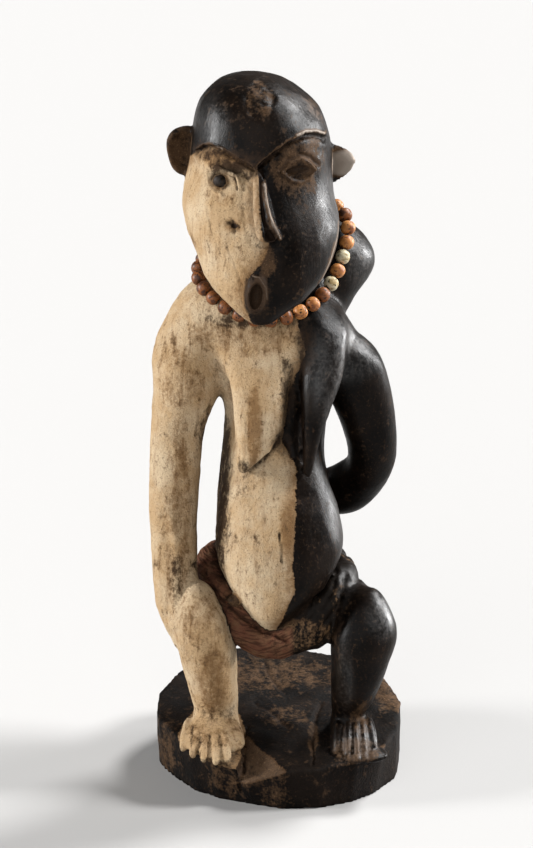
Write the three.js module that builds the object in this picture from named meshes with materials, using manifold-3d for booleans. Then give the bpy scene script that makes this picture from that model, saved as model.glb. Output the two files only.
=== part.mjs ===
// A Pende wooden figure, 540 mm tall: a crouching hunchback cut from one block with its round base,
// one half whitened and one half blackened, with a string of beads round the neck.
// Millimetres, +Z up, origin at the middle of the underside. The figure faces -Y, its right hand is at -X.
import * as THREE from "three";
import { mergeVertices } from "three/addons/utils/BufferGeometryUtils.js";
import Module from "manifold-3d";

const wasm = await Module();
wasm.setup();

// Driving dimensions
const base = { height: 45, slope: 0.125, sides: 36 };
const bead = { radius: 5.7, halfLength: 5.3, bore: 1.1, gap: 0.9, flat: 0.35, sides: 7 };
const string = { radius: 0.6, sides: 4 };
const toe = { radius: 4.4, length: 25, rise: 14, flatness: 0.9, sides: 6, rings: 5, blunt: 2.5 };
const belt = { radius: 13, steps: 26, sides: 8 };
const earHollow = { share: 0.72, halfDepth: 4 };
const underBlock = { depth: 60, halfWidth: 100 };
const brow = {
  step: 6.5,
  proud: 0.3,
  fadeLow: 436,
  fadeHigh: 474,
  reach: 90,
  startsBehind: 25,
  sides: 22,
  fields: [
    { x: -41, z: 462, halfWidth: 24, halfHeight: 40 },
    { x: 9, z: 465, halfWidth: 30, halfHeight: 43 },
  ],
};

// Materials, from the photograph
const blackWood = new THREE.MeshStandardMaterial({ color: 0x2b241f, roughness: 0.45, metalness: 0 });
const beadBrown = new THREE.MeshStandardMaterial({ color: 0x5b3426, roughness: 0.5, metalness: 0 });
const beadTan = new THREE.MeshStandardMaterial({ color: 0xa9764c, roughness: 0.5, metalness: 0 });
const beadCream = new THREE.MeshStandardMaterial({ color: 0xcdb692, roughness: 0.5, metalness: 0 });
const thread = new THREE.MeshStandardMaterial({ color: 0x8a7658, roughness: 0.9, metalness: 0 });

// Which way a form's half depth points, where its sections are square to its spine and not level
const upright = new THREE.Vector3(0, 0, 1);
const alongY = new THREE.Vector3(0, 1, 0);

// Forms of the body. A station is x, y, z, half width, half depth; sides and rings are a form's facets.
const torso = {
  sides: 14,
  rings: 10,
  stations: [
    [-1, 16, 112, 26, 24], // underside of the pelvis
    [-1, 15, 138, 45, 36],
    [-1.5, 10, 176, 47.5, 36],
    [-4, 5, 214, 43.5, 31],
    [-5, 3, 252, 38.5, 29], // waist
    [-3, 2, 290, 39.5, 32],
    [-8, 2, 325, 50, 35], // chest
    [-10, 4, 352, 48, 33],
    [-10, 4, 374, 38, 26],
  ],
};
const belly = {
  sides: 16,
  rings: 10,
  stations: [
    [-8, -48, 131, 10, 11], // pointed lower tip, hanging over the loincloth
    [-5, -41, 144, 23, 23],
    [-2, -32, 162, 38, 33],
    [-0.5, -23, 186, 47, 40],
    [-1.5, -17, 212, 44.5, 39],
    [-4, -11, 245, 37, 33],
    [-4, -5, 285, 33, 28],
    [-4, 0, 322, 28, 22],
  ],
};
const yoke = {
  sides: 14,
  rings: 10,
  blunt: 2.6,
  up: alongY,
  stations: [
    [-90, 0, 326, 21, 23], // across the shoulders, from the right to the left
    [-70, 2, 340, 28, 29],
    [-42, 3, 357, 34, 32],
    [-8, 4, 356, 34, 34],
    [22, 6, 342, 32, 32],
    [42, 8, 322, 25, 27],
    [62, 8, 307, 22, 21],
  ],
};
const hump = {
  sides: 14,
  rings: 10,
  blunt: 4,
  stations: [
    [0, 20, 232, 26, 12], // the hunch of the back, fading into the loins below
    [0, 24, 266, 34, 19],
    [0, 29, 302, 38, 28],
    [3, 35, 336, 41, 35],
    [7, 40, 361, 49.5, 39],
    [15.5, 42, 386, 56.5, 38],
    [19, 42, 408, 49, 34],
    [20, 40, 430, 27, 22],
  ],
};
const neck = {
  sides: 14,
  rings: 6,
  stations: [
    [-8, 6, 348, 44, 35],
    [-11, 4, 376, 43, 33],
    [-12, 1, 400, 37, 31],
    [-12, -5, 420, 31, 29],
    [-12, -8, 436, 29, 28],
  ],
};
const rightBreast = {
  sides: 10,
  rings: 8,
  stations: [
    [-27.5, -42, 249, 3, 4.5], // nipple
    [-24.7, -41.5, 256, 7, 8],
    [-19.5, -40, 266, 12.5, 10.5],
    [-15.2, -37.5, 283, 18, 12.5],
    [-15.3, -34, 303, 20, 12.5],
    [-15.7, -28, 322, 22.5, 12],
    [-18, -18, 350, 20, 10],
  ],
};
const leftBreast = {
  sides: 10,
  rings: 8,
  stations: [
    [20, -42.5, 246, 3, 4],
    [21.5, -42.5, 262, 5.5, 7],
    [23.5, -40, 281, 8.5, 9.5],
    [27, -36, 301, 12.5, 11.5],
    [31, -29, 323, 15.5, 12],
    [34, -19, 348, 15, 10],
  ],
};
const rightArm = {
  rings: 11,
  stations: [
    [-80.5, -40, 117, 3, 5], // tip of the mitten hand, beside the knee
    [-79, -36, 142, 14, 13],
    [-79, -29, 172, 16.5, 16],
    [-79.5, -21, 215, 18.5, 18],
    [-78, -15, 252, 19.5, 18.5],
    [-76, -10, 275, 20.5, 20],
    [-70.5, -4, 300, 25, 26],
    [-66, 0, 328, 28, 29],
    [-57, 2, 360, 15, 23], // top of the shoulder
  ],
};
const leftArm = {
  rings: 13,
  up: alongY,
  stations: [
    [36, 8, 340, 18, 22],
    [52.5, 9, 316, 24.5, 23],
    [63, 12, 287, 22.5, 20],
    [69.5, 17, 257, 19.5, 17.5],
    [68.5, 26, 232.5, 18, 16.5], // elbow
    [53, 38, 211.5, 20.5, 15],
    [30, 45, 204.5, 18, 12.5],
    [13, 43, 204, 18, 10], // hand laid on the loins
    [-6, 40, 205, 11, 5],
  ],
};
const rightThigh = {
  rings: 6,
  up: upright,
  stations: [
    [-22, 20, 134, 27, 26], // hip, then along to the knee
    [-36, -2, 134, 23, 20],
    [-50, -24, 134, 19, 17],
    [-57, -42, 136, 16, 16],
  ],
};
const leftThigh = {
  rings: 6,
  up: upright,
  stations: [
    [25, 20, 134, 27, 26],
    [38, -2, 138, 24, 23],
    [51, -24, 139, 21, 20],
    [58, -42, 138, 18, 17],
  ],
};
const rightLeg = {
  blunt: 3.5,
  stations: [
    [-48, -35, 40, 18, 17], // ankle
    [-48.5, -38, 60, 18, 17],
    [-51, -43, 80, 19, 18],
    [-54.5, -46, 108, 21.5, 20],
    [-57.5, -47, 124, 22, 21.5],
    [-60, -47, 142, 19.5, 20],
    [-62.5, -43, 163, 12.5, 16], // top of the knee
  ],
};
const leftLeg = {
  blunt: 3.5,
  stations: [
    [52, -36, 38, 13.5, 14],
    [52.5, -38, 56, 13.5, 14],
    [56.5, -42, 75, 17.5, 17],
    [60.5, -45, 100, 22, 21],
    [63.5, -45, 126, 25, 23],
    [66, -41, 157, 15, 17],
  ],
};

// Forms of the head
const skull = {
  sides: 22,
  rings: 16,
  blunt: 10,
  square: 2.2,
  stations: [
    [-14, -84, 373, 8, 6], // chin
    [-13, -77, 381, 19, 17],
    [-12, -66, 390, 31, 30],
    [-11.5, -51, 403, 43, 45],
    [-11, -37, 418, 51, 57],
    [-13, -27, 435, 56.5, 63],
    [-16, -21, 455, 55, 64],
    [-14, -17, 480, 51.5, 62],
    [-15, -15, 502, 48, 58],
    [-17.5, -14, 520, 41, 49],
    [-21, -13, 534, 26, 34],
    [-22, -13, 540, 12, 15], // crown
  ],
};
const nose = {
  sides: 10,
  rings: 7,
  blunt: 3,
  stations: [
    [-8, -97, 435, 9, 8],
    [-9.5, -94, 444, 9, 8.5],
    [-13, -86, 462, 6.5, 7.5],
    [-17, -79, 482, 4.5, 5],
  ],
};
const rightBrow = {
  sides: 5,
  rings: 7,
  up: alongY,
  stations: [
    [-61, -31, 492, 3, 3], // over the right eye, from the temple to the V above the nose
    [-55, -48, 498.5, 3.5, 3.5],
    [-46, -60.5, 501, 3.5, 3.5],
    [-33, -71, 496, 3.5, 3.5],
    [-18.5, -79, 482.5, 3.5, 3.5],
  ],
};
const leftBrow = {
  sides: 5,
  rings: 7,
  up: alongY,
  stations: [
    [-20.5, -79, 482.5, 3.5, 3.5],
    [-7, -73.5, 498, 3.5, 3.5],
    [8, -63.5, 507.5, 3.5, 3.5],
    [21, -51, 507, 3.5, 3.5],
    [30, -35, 500, 3, 3],
  ],
};

// Rim of the base: angle in degrees from +X, radius of the top edge, radius of the bottom edge
const rim = [
  [-176, 95, 94],
  [-167, 94.5, 89.5],
  [-155, 90.5, 86],
  [-139, 92.5, 85],
  [-122, 95.5, 85],
  [-104, 96, 84],
  [-90, 96.5, 89.5],
  [-72, 96.5, 93],
  [-55, 99, 94.5],
  [-40, 99.5, 94.5],
  [-22, 97, 95],
  [8, 96, 95],
  [35, 96, 93],
  [60, 92.5, 91],
  [78, 91.5, 90],
  [96, 95, 92],
  [112, 98, 94],
  [130, 96, 93],
  [147, 95, 93],
  [168, 96, 97],
];

// Profile of the head's underside, y and z: up from the chin to the throat, then level to the nape
const underside = [
  [-100, 358],
  [-34, 421],
  [0, 417],
  [70, 417],
];

// Swellings: centre, half axes, tilt in degrees
const features = [
  { at: [-43, -64, 474], halves: [12, 7.5, 8.5], tilt: [0, 0, 0] }, // lids of the right eye
  { at: [-43.5, -69.5, 474], halves: [3.8, 3.8, 3.8], tilt: [0, 0, 0] }, // its pupil
  { at: [12.5, -63, 483], halves: [13, 7, 7.5], tilt: [0, -8, 0] }, // lids of the left eye
  { at: [-17.5, -92.5, 398.5], halves: [10, 9.5, 16], tilt: [-6, 8, 0] }, // lips
];
const mouth = { at: [-17, -103, 397.5], halves: [5, 10, 10], tilt: [-6, 8, 0] };
const ears = [
  { at: [-69, -8, 482], halves: [14, 6, 18], tilt: [0, -14, 14], hollow: [-2, -6, 0] },
  { at: [37, -8, 474], halves: [18.5, 6, 14], tilt: [0, -8, -12], hollow: [2, -6, 0] },
];
const seat = [
  { at: [-22, 22, 134], halves: [30, 27, 27], tilt: [0, 0, 0] }, // buttocks
  { at: [22, 22, 134], halves: [30, 27, 27], tilt: [0, 0, 0] },
  { at: [-1, -16, 135], halves: [46, 34, 22], tilt: [0, 0, 0] }, // lap, under the belly
];

// Feet: the sole from the heel to the ball, then the tip of each toe and its lean in x
const rightFoot = {
  sole: {
    rings: 7,
    blunt: 3,
    up: upright,
    stations: [
      [-48, -20, 46, 14, 11],
      [-49, -42, 48, 18, 14],
      [-50, -62, 43, 24, 9],
      [-50, -74, 38, 25, 6],
    ],
  },
  toes: [
    [-73, -68, 38, -3],
    [-65.5, -78, 36, -2],
    [-57, -84, 35, -1],
    [-48, -87, 34, 0],
    [-39.5, -86, 35, 1],
  ],
};
const leftFoot = {
  sole: {
    rings: 7,
    blunt: 3,
    up: upright,
    stations: [
      [51, -20, 46, 11, 10],
      [52, -38, 46, 13, 12],
      [55, -56, 43, 16, 9],
      [56, -68, 39, 17, 6],
    ],
  },
  toes: [
    [43, -72, 38, -1],
    [50.5, -77, 38, 0],
    [57.5, -78, 38, 1],
    [64, -75, 38, 2],
    [70, -70, 39, 3],
  ],
};

// The rolled loincloth's route round the hips and under the belly
const beltRoute = [
  [-4, -46.5, 117],
  [-25, -45, 125],
  [-42, -34, 142],
  [-52, -14, 154.5],
  [-53, 9, 159.5],
  [-38, 34, 155],
  [0, 44, 149],
  [34, 34, 150],
  [44, 8, 156],
  [47, -19, 149],
  [35, -34, 130],
  [20, -42, 120],
];

// The string's route round the neck: low under the chin, high over the hump
const stringRoute = [
  [-13, -36, 362.5],
  [16.5, -28.5, 368],
  [36.5, -9, 382.5],
  [48, 9, 406],
  [50.5, 17.5, 419],
  [47, 29.5, 429.5],
  [23.5, 48, 435.5],
  [-7, 50.5, 429],
  [-21, 46.5, 421.5],
  [-31, 38, 411.5],
  [-52.5, 18, 401.5],
  [-61, -9.5, 389.5],
  [-43.5, -31.5, 374],
];

// Kinds of bead in their order along the string, from under the chin: brown, tan or cream, the rest brown
const beadOrder = "bbttbctcttbtcbtbbtbb";

const point = ([x, y, z]) => new THREE.Vector3(x, y, z);

// A closed geometry as a solid that can be joined and cut.
function solid(geometry) {
  const bare = new THREE.BufferGeometry()
    .setAttribute("position", geometry.getAttribute("position"))
    .setIndex(geometry.getIndex());
  const merged = mergeVertices(bare, 1e-4);
  return new wasm.Manifold(
    new wasm.Mesh({
      numProp: 3,
      vertProperties: merged.getAttribute("position").array,
      triVerts: new Uint32Array(merged.getIndex().array),
    }),
  );
}

function geometryOf(manifold) {
  const { vertProperties, triVerts } = manifold.getMesh();
  return new THREE.BufferGeometry()
    .setAttribute("position", new THREE.BufferAttribute(new Float32Array(vertProperties), 3))
    .setIndex(new THREE.BufferAttribute(new Uint32Array(triVerts), 1))
    .toNonIndexed();
}

// A sphere's skin stretched along a spline through the stations. Its axis becomes the spine, and each of
// its parallels an ellipse of the stations' half width and half depth. The parallels lie level, or square to
// the spine if `up` is given. `blunt` says how late the ends close, and `square` how boxy a section is.
function form({ stations, sides = 12, rings = 9, blunt = 6, square = 2, up = null }) {
  const geometry = new THREE.SphereGeometry(1, sides, rings);
  const position = geometry.getAttribute("position");
  const spine = new THREE.CatmullRomCurve3(stations.map(point));
  const sizes = stations.map(([, , , width, depth]) => point([width, depth, 0]));
  const halves = new THREE.CatmullRomCurve3(sizes);
  const bend = (c) => Math.sign(c) * Math.abs(c) ** (2 / square);
  for (let i = 0; i < position.count; i++) {
    const axial = THREE.MathUtils.clamp(position.getY(i), -1, 1);
    const turn = Math.atan2(-position.getZ(i), position.getX(i));
    const t = (1 - axial) / 2;
    const centre = spine.getPoint(t);
    const half = halves.getPoint(t);
    const closing = (1 - Math.abs(axial) ** blunt) ** (1 / blunt);
    const side = new THREE.Vector3(1, 0, 0);
    const depth = new THREE.Vector3(0, 1, 0);
    if (up) {
      const along = spine.getTangent(t);
      side.crossVectors(up, along).normalize();
      depth.crossVectors(along, side);
    }
    centre.addScaledVector(side, half.x * closing * bend(Math.cos(turn)));
    centre.addScaledVector(depth, half.y * closing * bend(Math.sin(turn)));
    position.setXYZ(i, centre.x, centre.y, centre.z);
  }
  const made = solid(geometry);
  return made.volume() > 0 ? made : solid(turnedOut(geometry));
}

// The same geometry with each face turned round, for a spine that runs downwards.
function turnedOut(geometry) {
  const index = geometry.getIndex().array;
  for (let i = 0; i < index.length; i += 3) {
    [index[i + 1], index[i + 2]] = [index[i + 2], index[i + 1]];
  }
  return geometry;
}

function ellipsoid({ at, halves, tilt, sides = 10, rings = 7 }) {
  const turn = new THREE.Euler(...tilt.map(THREE.MathUtils.degToRad));
  const geometry = new THREE.SphereGeometry(1, sides, rings).scale(...halves);
  geometry.applyMatrix4(new THREE.Matrix4().makeRotationFromEuler(turn)).translate(...at);
  return solid(geometry);
}

const join = (parts) => parts.reduce((whole, part) => whole.add(part));

// The rim's value in the given column at an angle in degrees, straight between the stations.
function rimAt(degrees, column) {
  const after = rim.findIndex((station) => station[0] > degrees);
  const next = rim[after < 0 ? 0 : after];
  const last = rim[after < 1 ? rim.length - 1 : after - 1];
  const span = (next[0] - last[0] + 360) % 360;
  return THREE.MathUtils.lerp(last[column], next[column], ((degrees - last[0] + 360) % 360) / span);
}

// The base: a slice of the trunk, narrower below, whose top rises towards the back.
function baseSolid() {
  const geometry = new THREE.CylinderGeometry(1, 1, 1, base.sides, 1);
  geometry.rotateX(Math.PI / 2).translate(0, 0, 0.5);
  const position = geometry.getAttribute("position");
  for (let i = 0; i < position.count; i++) {
    const angle = Math.atan2(position.getY(i), position.getX(i));
    const level = position.getZ(i);
    const edge = rimAt(THREE.MathUtils.radToDeg(angle), level > 0.5 ? 1 : 2);
    const radius = edge * Math.hypot(position.getX(i), position.getY(i));
    const y = radius * Math.sin(angle);
    position.setXYZ(i, radius * Math.cos(angle), y, level * (base.height + base.slope * y));
  }
  return solid(geometry);
}

const closedCurve = (route) => new THREE.CatmullRomCurve3(route.map(point), true);

// A closed tube of round section along a closed curve.
const ring = (curve, { radius, steps, sides }) => new THREE.TubeGeometry(curve, steps, radius, sides, true);

function footSolid({ sole, toes }) {
  const { radius, length, rise, flatness, sides, rings, blunt } = toe;
  const digits = toes.map(([x, y, z, lean]) => {
    const root = [x - lean, y + length, z + rise, radius, radius];
    const tip = [x, y, z, radius, radius * flatness];
    return form({ stations: [root, tip], sides, rings, blunt, up: upright });
  });
  return join([form(sole), ...digits]);
}

// An upright elliptical cylinder wall running front to back; its upper edge is one arc of the brow.
function eyeField({ x, z, halfWidth, halfHeight }) {
  const field = new THREE.CylinderGeometry(1, 1, brow.reach, brow.sides).scale(halfWidth, 1, halfHeight);
  return solid(field.translate(x, -brow.reach / 2 - brow.startsBehind, z));
}

// Everything under the head's underside, as a block running from side to side.
function underHead() {
  const { depth, halfWidth } = underBlock;
  const [front, back] = [underside[0], underside[underside.length - 1]];
  const floor = front[1] - depth;
  const corners = [...underside, [back[0], floor], [front[0], floor]];
  const outline = new THREE.Shape(corners.map(([y, z]) => new THREE.Vector2(y, z)));
  const block = new THREE.ExtrudeGeometry(outline, { depth: 2 * halfWidth, bevelEnabled: false });
  // the drawing plane's axes become y and z, and the block runs along x, with its middle at 0
  const turned = new THREE.Matrix4().set(0, 0, 1, -halfWidth, 1, 0, 0, 0, 0, 1, 0, 0, 0, 0, 0, 1);
  return solid(block.applyMatrix4(turned));
}

function headSolid() {
  // Inside the two eye fields the face is sunk below the brow, less and less towards the cheeks.
  const { step, proud, fadeLow, fadeHigh, fields } = brow;
  const sunk = (z) => step * THREE.MathUtils.smoothstep(z, fadeLow, fadeHigh);
  const stations = skull.stations.map(([x, y, z, w, d]) => [x, y, z, w + proud, d + proud - sunk(z)]);
  const layer = join(fields.map(eyeField)).subtract(form({ ...skull, stations }));
  const face = form(skull).subtract(layer).subtract(underHead());
  const ridges = [nose, rightBrow, leftBrow].map(form);
  return join([face, ...ridges, ...features.map(ellipsoid)]).subtract(ellipsoid(mouth));
}

function earSolid(ear) {
  const { share, halfDepth } = earHollow;
  const at = ear.at.map((value, i) => value + ear.hollow[i]);
  const halves = [ear.halves[0] * share, halfDepth, ear.halves[2] * share];
  return ellipsoid(ear).subtract(ellipsoid({ ...ear, at, halves }));
}

function figureSolid() {
  const trunk = [torso, belly, yoke, hump, neck, rightBreast, leftBreast].map(form);
  const limbs = [rightArm, leftArm, rightThigh, leftThigh, rightLeg, leftLeg].map(form);
  const feet = [rightFoot, leftFoot].map(footSolid);
  const loincloth = solid(ring(closedCurve(beltRoute), belt));
  const haunches = seat.map(ellipsoid);
  const head = [headSolid(), ...ears.map(earSolid)];
  return join([baseSolid(), ...trunk, ...haunches, ...limbs, ...feet, loincloth, ...head]);
}

// One bead: a turned profile round a straight bore, closed on itself, with its axis along the string.
function beadGeometry() {
  const { radius, halfLength, bore, flat, sides } = bead;
  const profile = [
    [bore, -halfLength],
    [radius, -halfLength * flat],
    [radius, halfLength * flat],
    [bore, halfLength],
    [bore, -halfLength],
  ].map(([r, h]) => new THREE.Vector2(r, h));
  return new THREE.LatheGeometry(profile, sides);
}

const part = new THREE.Group();

function addMesh(name, geometry, material) {
  geometry.computeVertexNormals();
  const mesh = new THREE.Mesh(geometry, material);
  mesh.name = name;
  part.add(mesh);
  return mesh;
}

addMesh("figure", geometryOf(figureSolid()), blackWood);

const stringCurve = closedCurve(stringRoute);
const beadCount = Math.floor(stringCurve.getLength() / (2 * bead.halfLength + bead.gap));
const knots = stringCurve.getSpacedPoints(beadCount);
for (let i = 0; i < beadCount; i++) {
  const along = knots[i + 1].clone().sub(knots[i]).normalize();
  const material = { b: beadBrown, t: beadTan, c: beadCream }[beadOrder[i] ?? "b"];
  const mesh = addMesh(`bead_${String(i + 1).padStart(2, "0")}`, beadGeometry(), material);
  mesh.position.addVectors(knots[i], knots[i + 1]).multiplyScalar(0.5);
  mesh.quaternion.setFromUnitVectors(new THREE.Vector3(0, 1, 0), along);
}

addMesh("bead_string", ring(stringCurve, { ...string, steps: beadCount }), thread);

export default part;
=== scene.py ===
# A Pende wooden figure: a crouching hunchback cut from one block with its round base, one half whitened with
# kaolin and the other blackened, with a string of beads round the neck.
import functools
import itertools
import math

import bmesh
import bpy
import numpy as np
from mathutils import Euler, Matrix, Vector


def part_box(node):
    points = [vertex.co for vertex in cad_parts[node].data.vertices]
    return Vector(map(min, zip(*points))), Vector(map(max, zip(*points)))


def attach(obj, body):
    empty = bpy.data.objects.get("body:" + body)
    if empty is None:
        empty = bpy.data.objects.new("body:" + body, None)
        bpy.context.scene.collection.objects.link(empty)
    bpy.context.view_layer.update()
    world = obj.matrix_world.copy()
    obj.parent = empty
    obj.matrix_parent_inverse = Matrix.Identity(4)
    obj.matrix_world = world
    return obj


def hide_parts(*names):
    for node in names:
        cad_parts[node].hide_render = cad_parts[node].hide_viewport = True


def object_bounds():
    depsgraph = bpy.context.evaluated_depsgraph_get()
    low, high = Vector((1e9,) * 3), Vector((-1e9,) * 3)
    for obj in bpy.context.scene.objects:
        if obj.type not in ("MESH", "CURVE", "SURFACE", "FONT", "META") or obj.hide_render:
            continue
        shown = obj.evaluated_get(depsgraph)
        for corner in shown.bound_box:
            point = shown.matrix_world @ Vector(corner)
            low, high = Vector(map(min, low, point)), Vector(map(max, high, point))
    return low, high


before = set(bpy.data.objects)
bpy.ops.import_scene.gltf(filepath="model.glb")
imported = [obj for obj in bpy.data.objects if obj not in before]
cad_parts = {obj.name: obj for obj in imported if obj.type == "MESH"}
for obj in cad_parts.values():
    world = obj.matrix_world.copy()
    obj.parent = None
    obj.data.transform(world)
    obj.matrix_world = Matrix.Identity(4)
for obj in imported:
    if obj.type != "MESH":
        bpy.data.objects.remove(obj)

cadBox = np.array(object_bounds())
mm = 0.001  # the tables are in millimetres, Blender is in metres
print("frame loaded")

# Camera, lights and floor

studio = {
    "aim": (-10.1, 0.9, 272.9),
    "distance": 2000,
    "pitch": 17,  # degrees that the camera looks down
    "lens": 113.2,
    "film": 36,
    "lights": {  # direction towards the light, strength, softness in degrees
        "left_softbox": ((-0.97, -0.08, 0.27), 4.7, 16),
        "right_softbox": ((0.80, 0.02, 0.60), 4.5, 14),
        "right_rim": ((0.90, 0.42, 0.12), 4.0, 12),
        "back_softbox": ((0.49, 0.42, 0.72), 4.6, 16),
        "front_card": ((-0.30, -0.90, 0.42), 1.5, 60),
    },
    "roomLight": 0.14,
    "floorSize": 40000,
    "floorShade": "9E9D9C",
}


def linear(shade):
    # an sRGB hex value as linear red, green, blue and alpha: each channel is scaled, then its curve is undone
    parts = [int(shade[i : i + 2], 16) / 255 for i in (0, 2, 4)]
    return tuple(c / 12.92 if c <= 0.04045 else ((c + 0.055) / 1.055) ** 2.4 for c in parts) + (1,)


def addNode(tree, kind, inputs=(), **settings):
    # one shader node: its settings, then each input, by name or in order, as a value or linked from a node
    node = tree.nodes.new("ShaderNode" + kind)
    for name, value in settings.items():
        setattr(node, name, value)
    for name, value in inputs.items() if isinstance(inputs, dict) else enumerate(inputs):
        source = value.outputs[0] if isinstance(value, bpy.types.Node) else value
        if isinstance(source, bpy.types.NodeSocket):
            tree.links.new(source, node.inputs[name])
        else:
            node.inputs[name].default_value = source
    return node


def newMaterial(name):
    # an empty material and the tree that its nodes go into
    material = bpy.data.materials.new(name)
    material.use_nodes = True
    material.node_tree.nodes.clear()
    return material, material.node_tree


def meshObject(name, points, faces, material, smooth=True):
    # an object at the origin whose mesh has these points, in millimetres, and these faces
    mesh = bpy.data.meshes.new(name)
    mesh.from_pydata(np.asarray(points) * mm, [], np.asarray(faces).tolist())
    mesh.materials.append(material)
    mesh.polygons.foreach_set("use_smooth", np.full(len(mesh.polygons), smooth))
    mesh.update()
    made = bpy.data.objects.new(name, mesh)
    bpy.context.collection.objects.link(made)
    return made


def makeStudio():
    # the camera looks down at its aim, each light is a far sheet of light, and the floor is one large square
    pitch = math.radians(studio["pitch"])
    aim = np.array(studio["aim"]) * mm
    back = np.array([0, -math.cos(pitch), math.sin(pitch)])
    camera = bpy.data.objects.new("camera", bpy.data.cameras.new("camera"))
    camera.location = aim + back * studio["distance"] * mm
    camera.rotation_euler = (math.pi / 2 - pitch, 0, 0)
    camera.data.lens = studio["lens"]
    camera.data.sensor_fit = "VERTICAL"
    camera.data.sensor_height = studio["film"]
    bpy.context.collection.objects.link(camera)
    bpy.context.scene.camera = camera
    for name, (towards, strength, softness) in studio["lights"].items():
        light = bpy.data.objects.new(name, bpy.data.lights.new(name, "SUN"))
        light.data.energy = strength
        light.data.angle = math.radians(softness)
        x, y, z = towards
        light.rotation_euler = (math.atan2(math.hypot(x, y), z), 0, math.atan2(y, x) + math.pi / 2)
        bpy.context.collection.objects.link(light)
    world = bpy.data.worlds.new("room")
    world.use_nodes = True
    world.node_tree.nodes["Background"].inputs["Strength"].default_value = studio["roomLight"]
    world.node_tree.nodes["Background"].inputs["Color"].default_value = (1, 1, 1, 1)
    bpy.context.scene.world = world
    paper, tree = newMaterial("paper_floor")  # matt white paper: no shine, the faintest warmth
    addNode(tree, "OutputMaterial", [addNode(tree, "BsdfDiffuse", [linear(studio["floorShade"])])])
    half = studio["floorSize"] / 2
    corners = [(-half, -half, 0), (half, -half, 0), (half, half, 0), (-half, half, 0)]
    meshObject("floor", corners, [(0, 1, 2, 3)], paper)
    bpy.context.scene.view_settings.view_transform = "Standard"
    print("studio set")


# Curves, noise and blends, on whole arrays

def spline(points, t, closed=False):
    # Catmull-Rom curve through the points: t runs from 0 to 1, an equal share for each span
    points = np.asarray(points, float)
    if closed:
        ends = np.vstack([points[-1], points, points[:2]])
    else:
        ends = np.vstack([2 * points[0] - points[1], points, 2 * points[-1] - points[-2]])
    spans = len(ends) - 3
    place = np.asarray(t) % 1 * spans if closed else np.clip(t, 0, 1) * spans
    low = np.minimum(place.astype(int), spans - 1)
    u = (place - low)[:, None]
    a, b, c, d = ends[low], ends[low + 1], ends[low + 2], ends[low + 3]
    return b + 0.5 * u * (c - a + u * (2 * a - 5 * b + 4 * c - d + u * (3 * (b - c) + d - a)))


def scatter(cell, seed):
    # a repeatable number from 0 to 1 for each lattice cell: its three indices times large odd factors, mixed
    i = cell.astype(np.int64).astype(np.uint32)
    h = i[:, 0] * np.uint32(374761393) + i[:, 1] * np.uint32(668265263) + i[:, 2] * np.uint32(2246822519)
    h = (h + np.uint32(seed * 974711)) * np.uint32(2654435761)
    h = (h ^ (h >> np.uint32(13))) * np.uint32(1274126177)
    return ((h ^ (h >> np.uint32(16))) & np.uint32(0xFFFF)) / 65535


def noise(p, size, seed=0):
    # value noise from -1 to 1: a random value at each corner of a lattice of that size, eased between them
    q = p / size
    low = np.floor(q)
    u = q - low
    u = u * u * (3 - 2 * u)
    total = 0
    for step in itertools.product((0, 1), repeat=3):
        weight = np.prod(np.where(step, u, 1 - u), axis=1)
        total = total + weight * scatter(low + step, seed)
    return 2 * total - 1


def uneven(p, waves, seed):
    # the unevenness of hand work: noise of each size, times its height, added up
    return sum(height * noise(p, size, seed + i) for i, (size, height) in enumerate(waves))


def cuts(p, size, seed):
    # tool cuts: squared distance to the nearest of jittered points, one in each lattice cell, 0 mid-cut
    q = p / size
    low = np.floor(q)
    nearest = np.full(len(p), 9.0)
    for step in itertools.product((-1, 0, 1), repeat=3):
        cell = low + step
        point = cell + 0.15 + 0.7 * np.stack([scatter(cell, seed + i) for i in range(3)], axis=1)
        nearest = np.minimum(nearest, ((q - point) ** 2).sum(axis=1))
    return nearest


def ease(value, low, high):
    # 0 below low, 1 above high, and an S curve between
    u = np.clip((value - low) / (high - low), 0, 1)
    return u * u * (3 - 2 * u)


def readOff(table, value):
    # the second column of a table at each value of its first, straight lines between
    return np.interp(value, *np.array(table, float).T)


def union(a, b, k):
    # the lower of two fields, with a fillet where they come within k of each other
    h = np.maximum(k - np.abs(a - b), 0) / k
    return np.minimum(a, b) - h * h * k / 4


def cut(a, b, k):
    # field a with field b taken out of it, the edge rounded within k
    return -union(-a, b, k)


def toPolyline(across, points):
    # distance in a plane from each row of across to the nearest place on a line through the points
    points = np.asarray(points, float)
    best = np.full(len(across), np.inf)
    for a, b in zip(points[:-1], points[1:]):
        along = np.clip(((across - a) @ (b - a)) / ((b - a) @ (b - a)), 0, 1)
        best = np.minimum(best, np.hypot(*(across - a - along[:, None] * (b - a)).T))
    return best


# The block: each form's stations are x, y, z, half width, half depth. A form with an "up" has its sections
# square to its spine, the others have level ones. "join" is the width of the fillet to what is already there.

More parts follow.
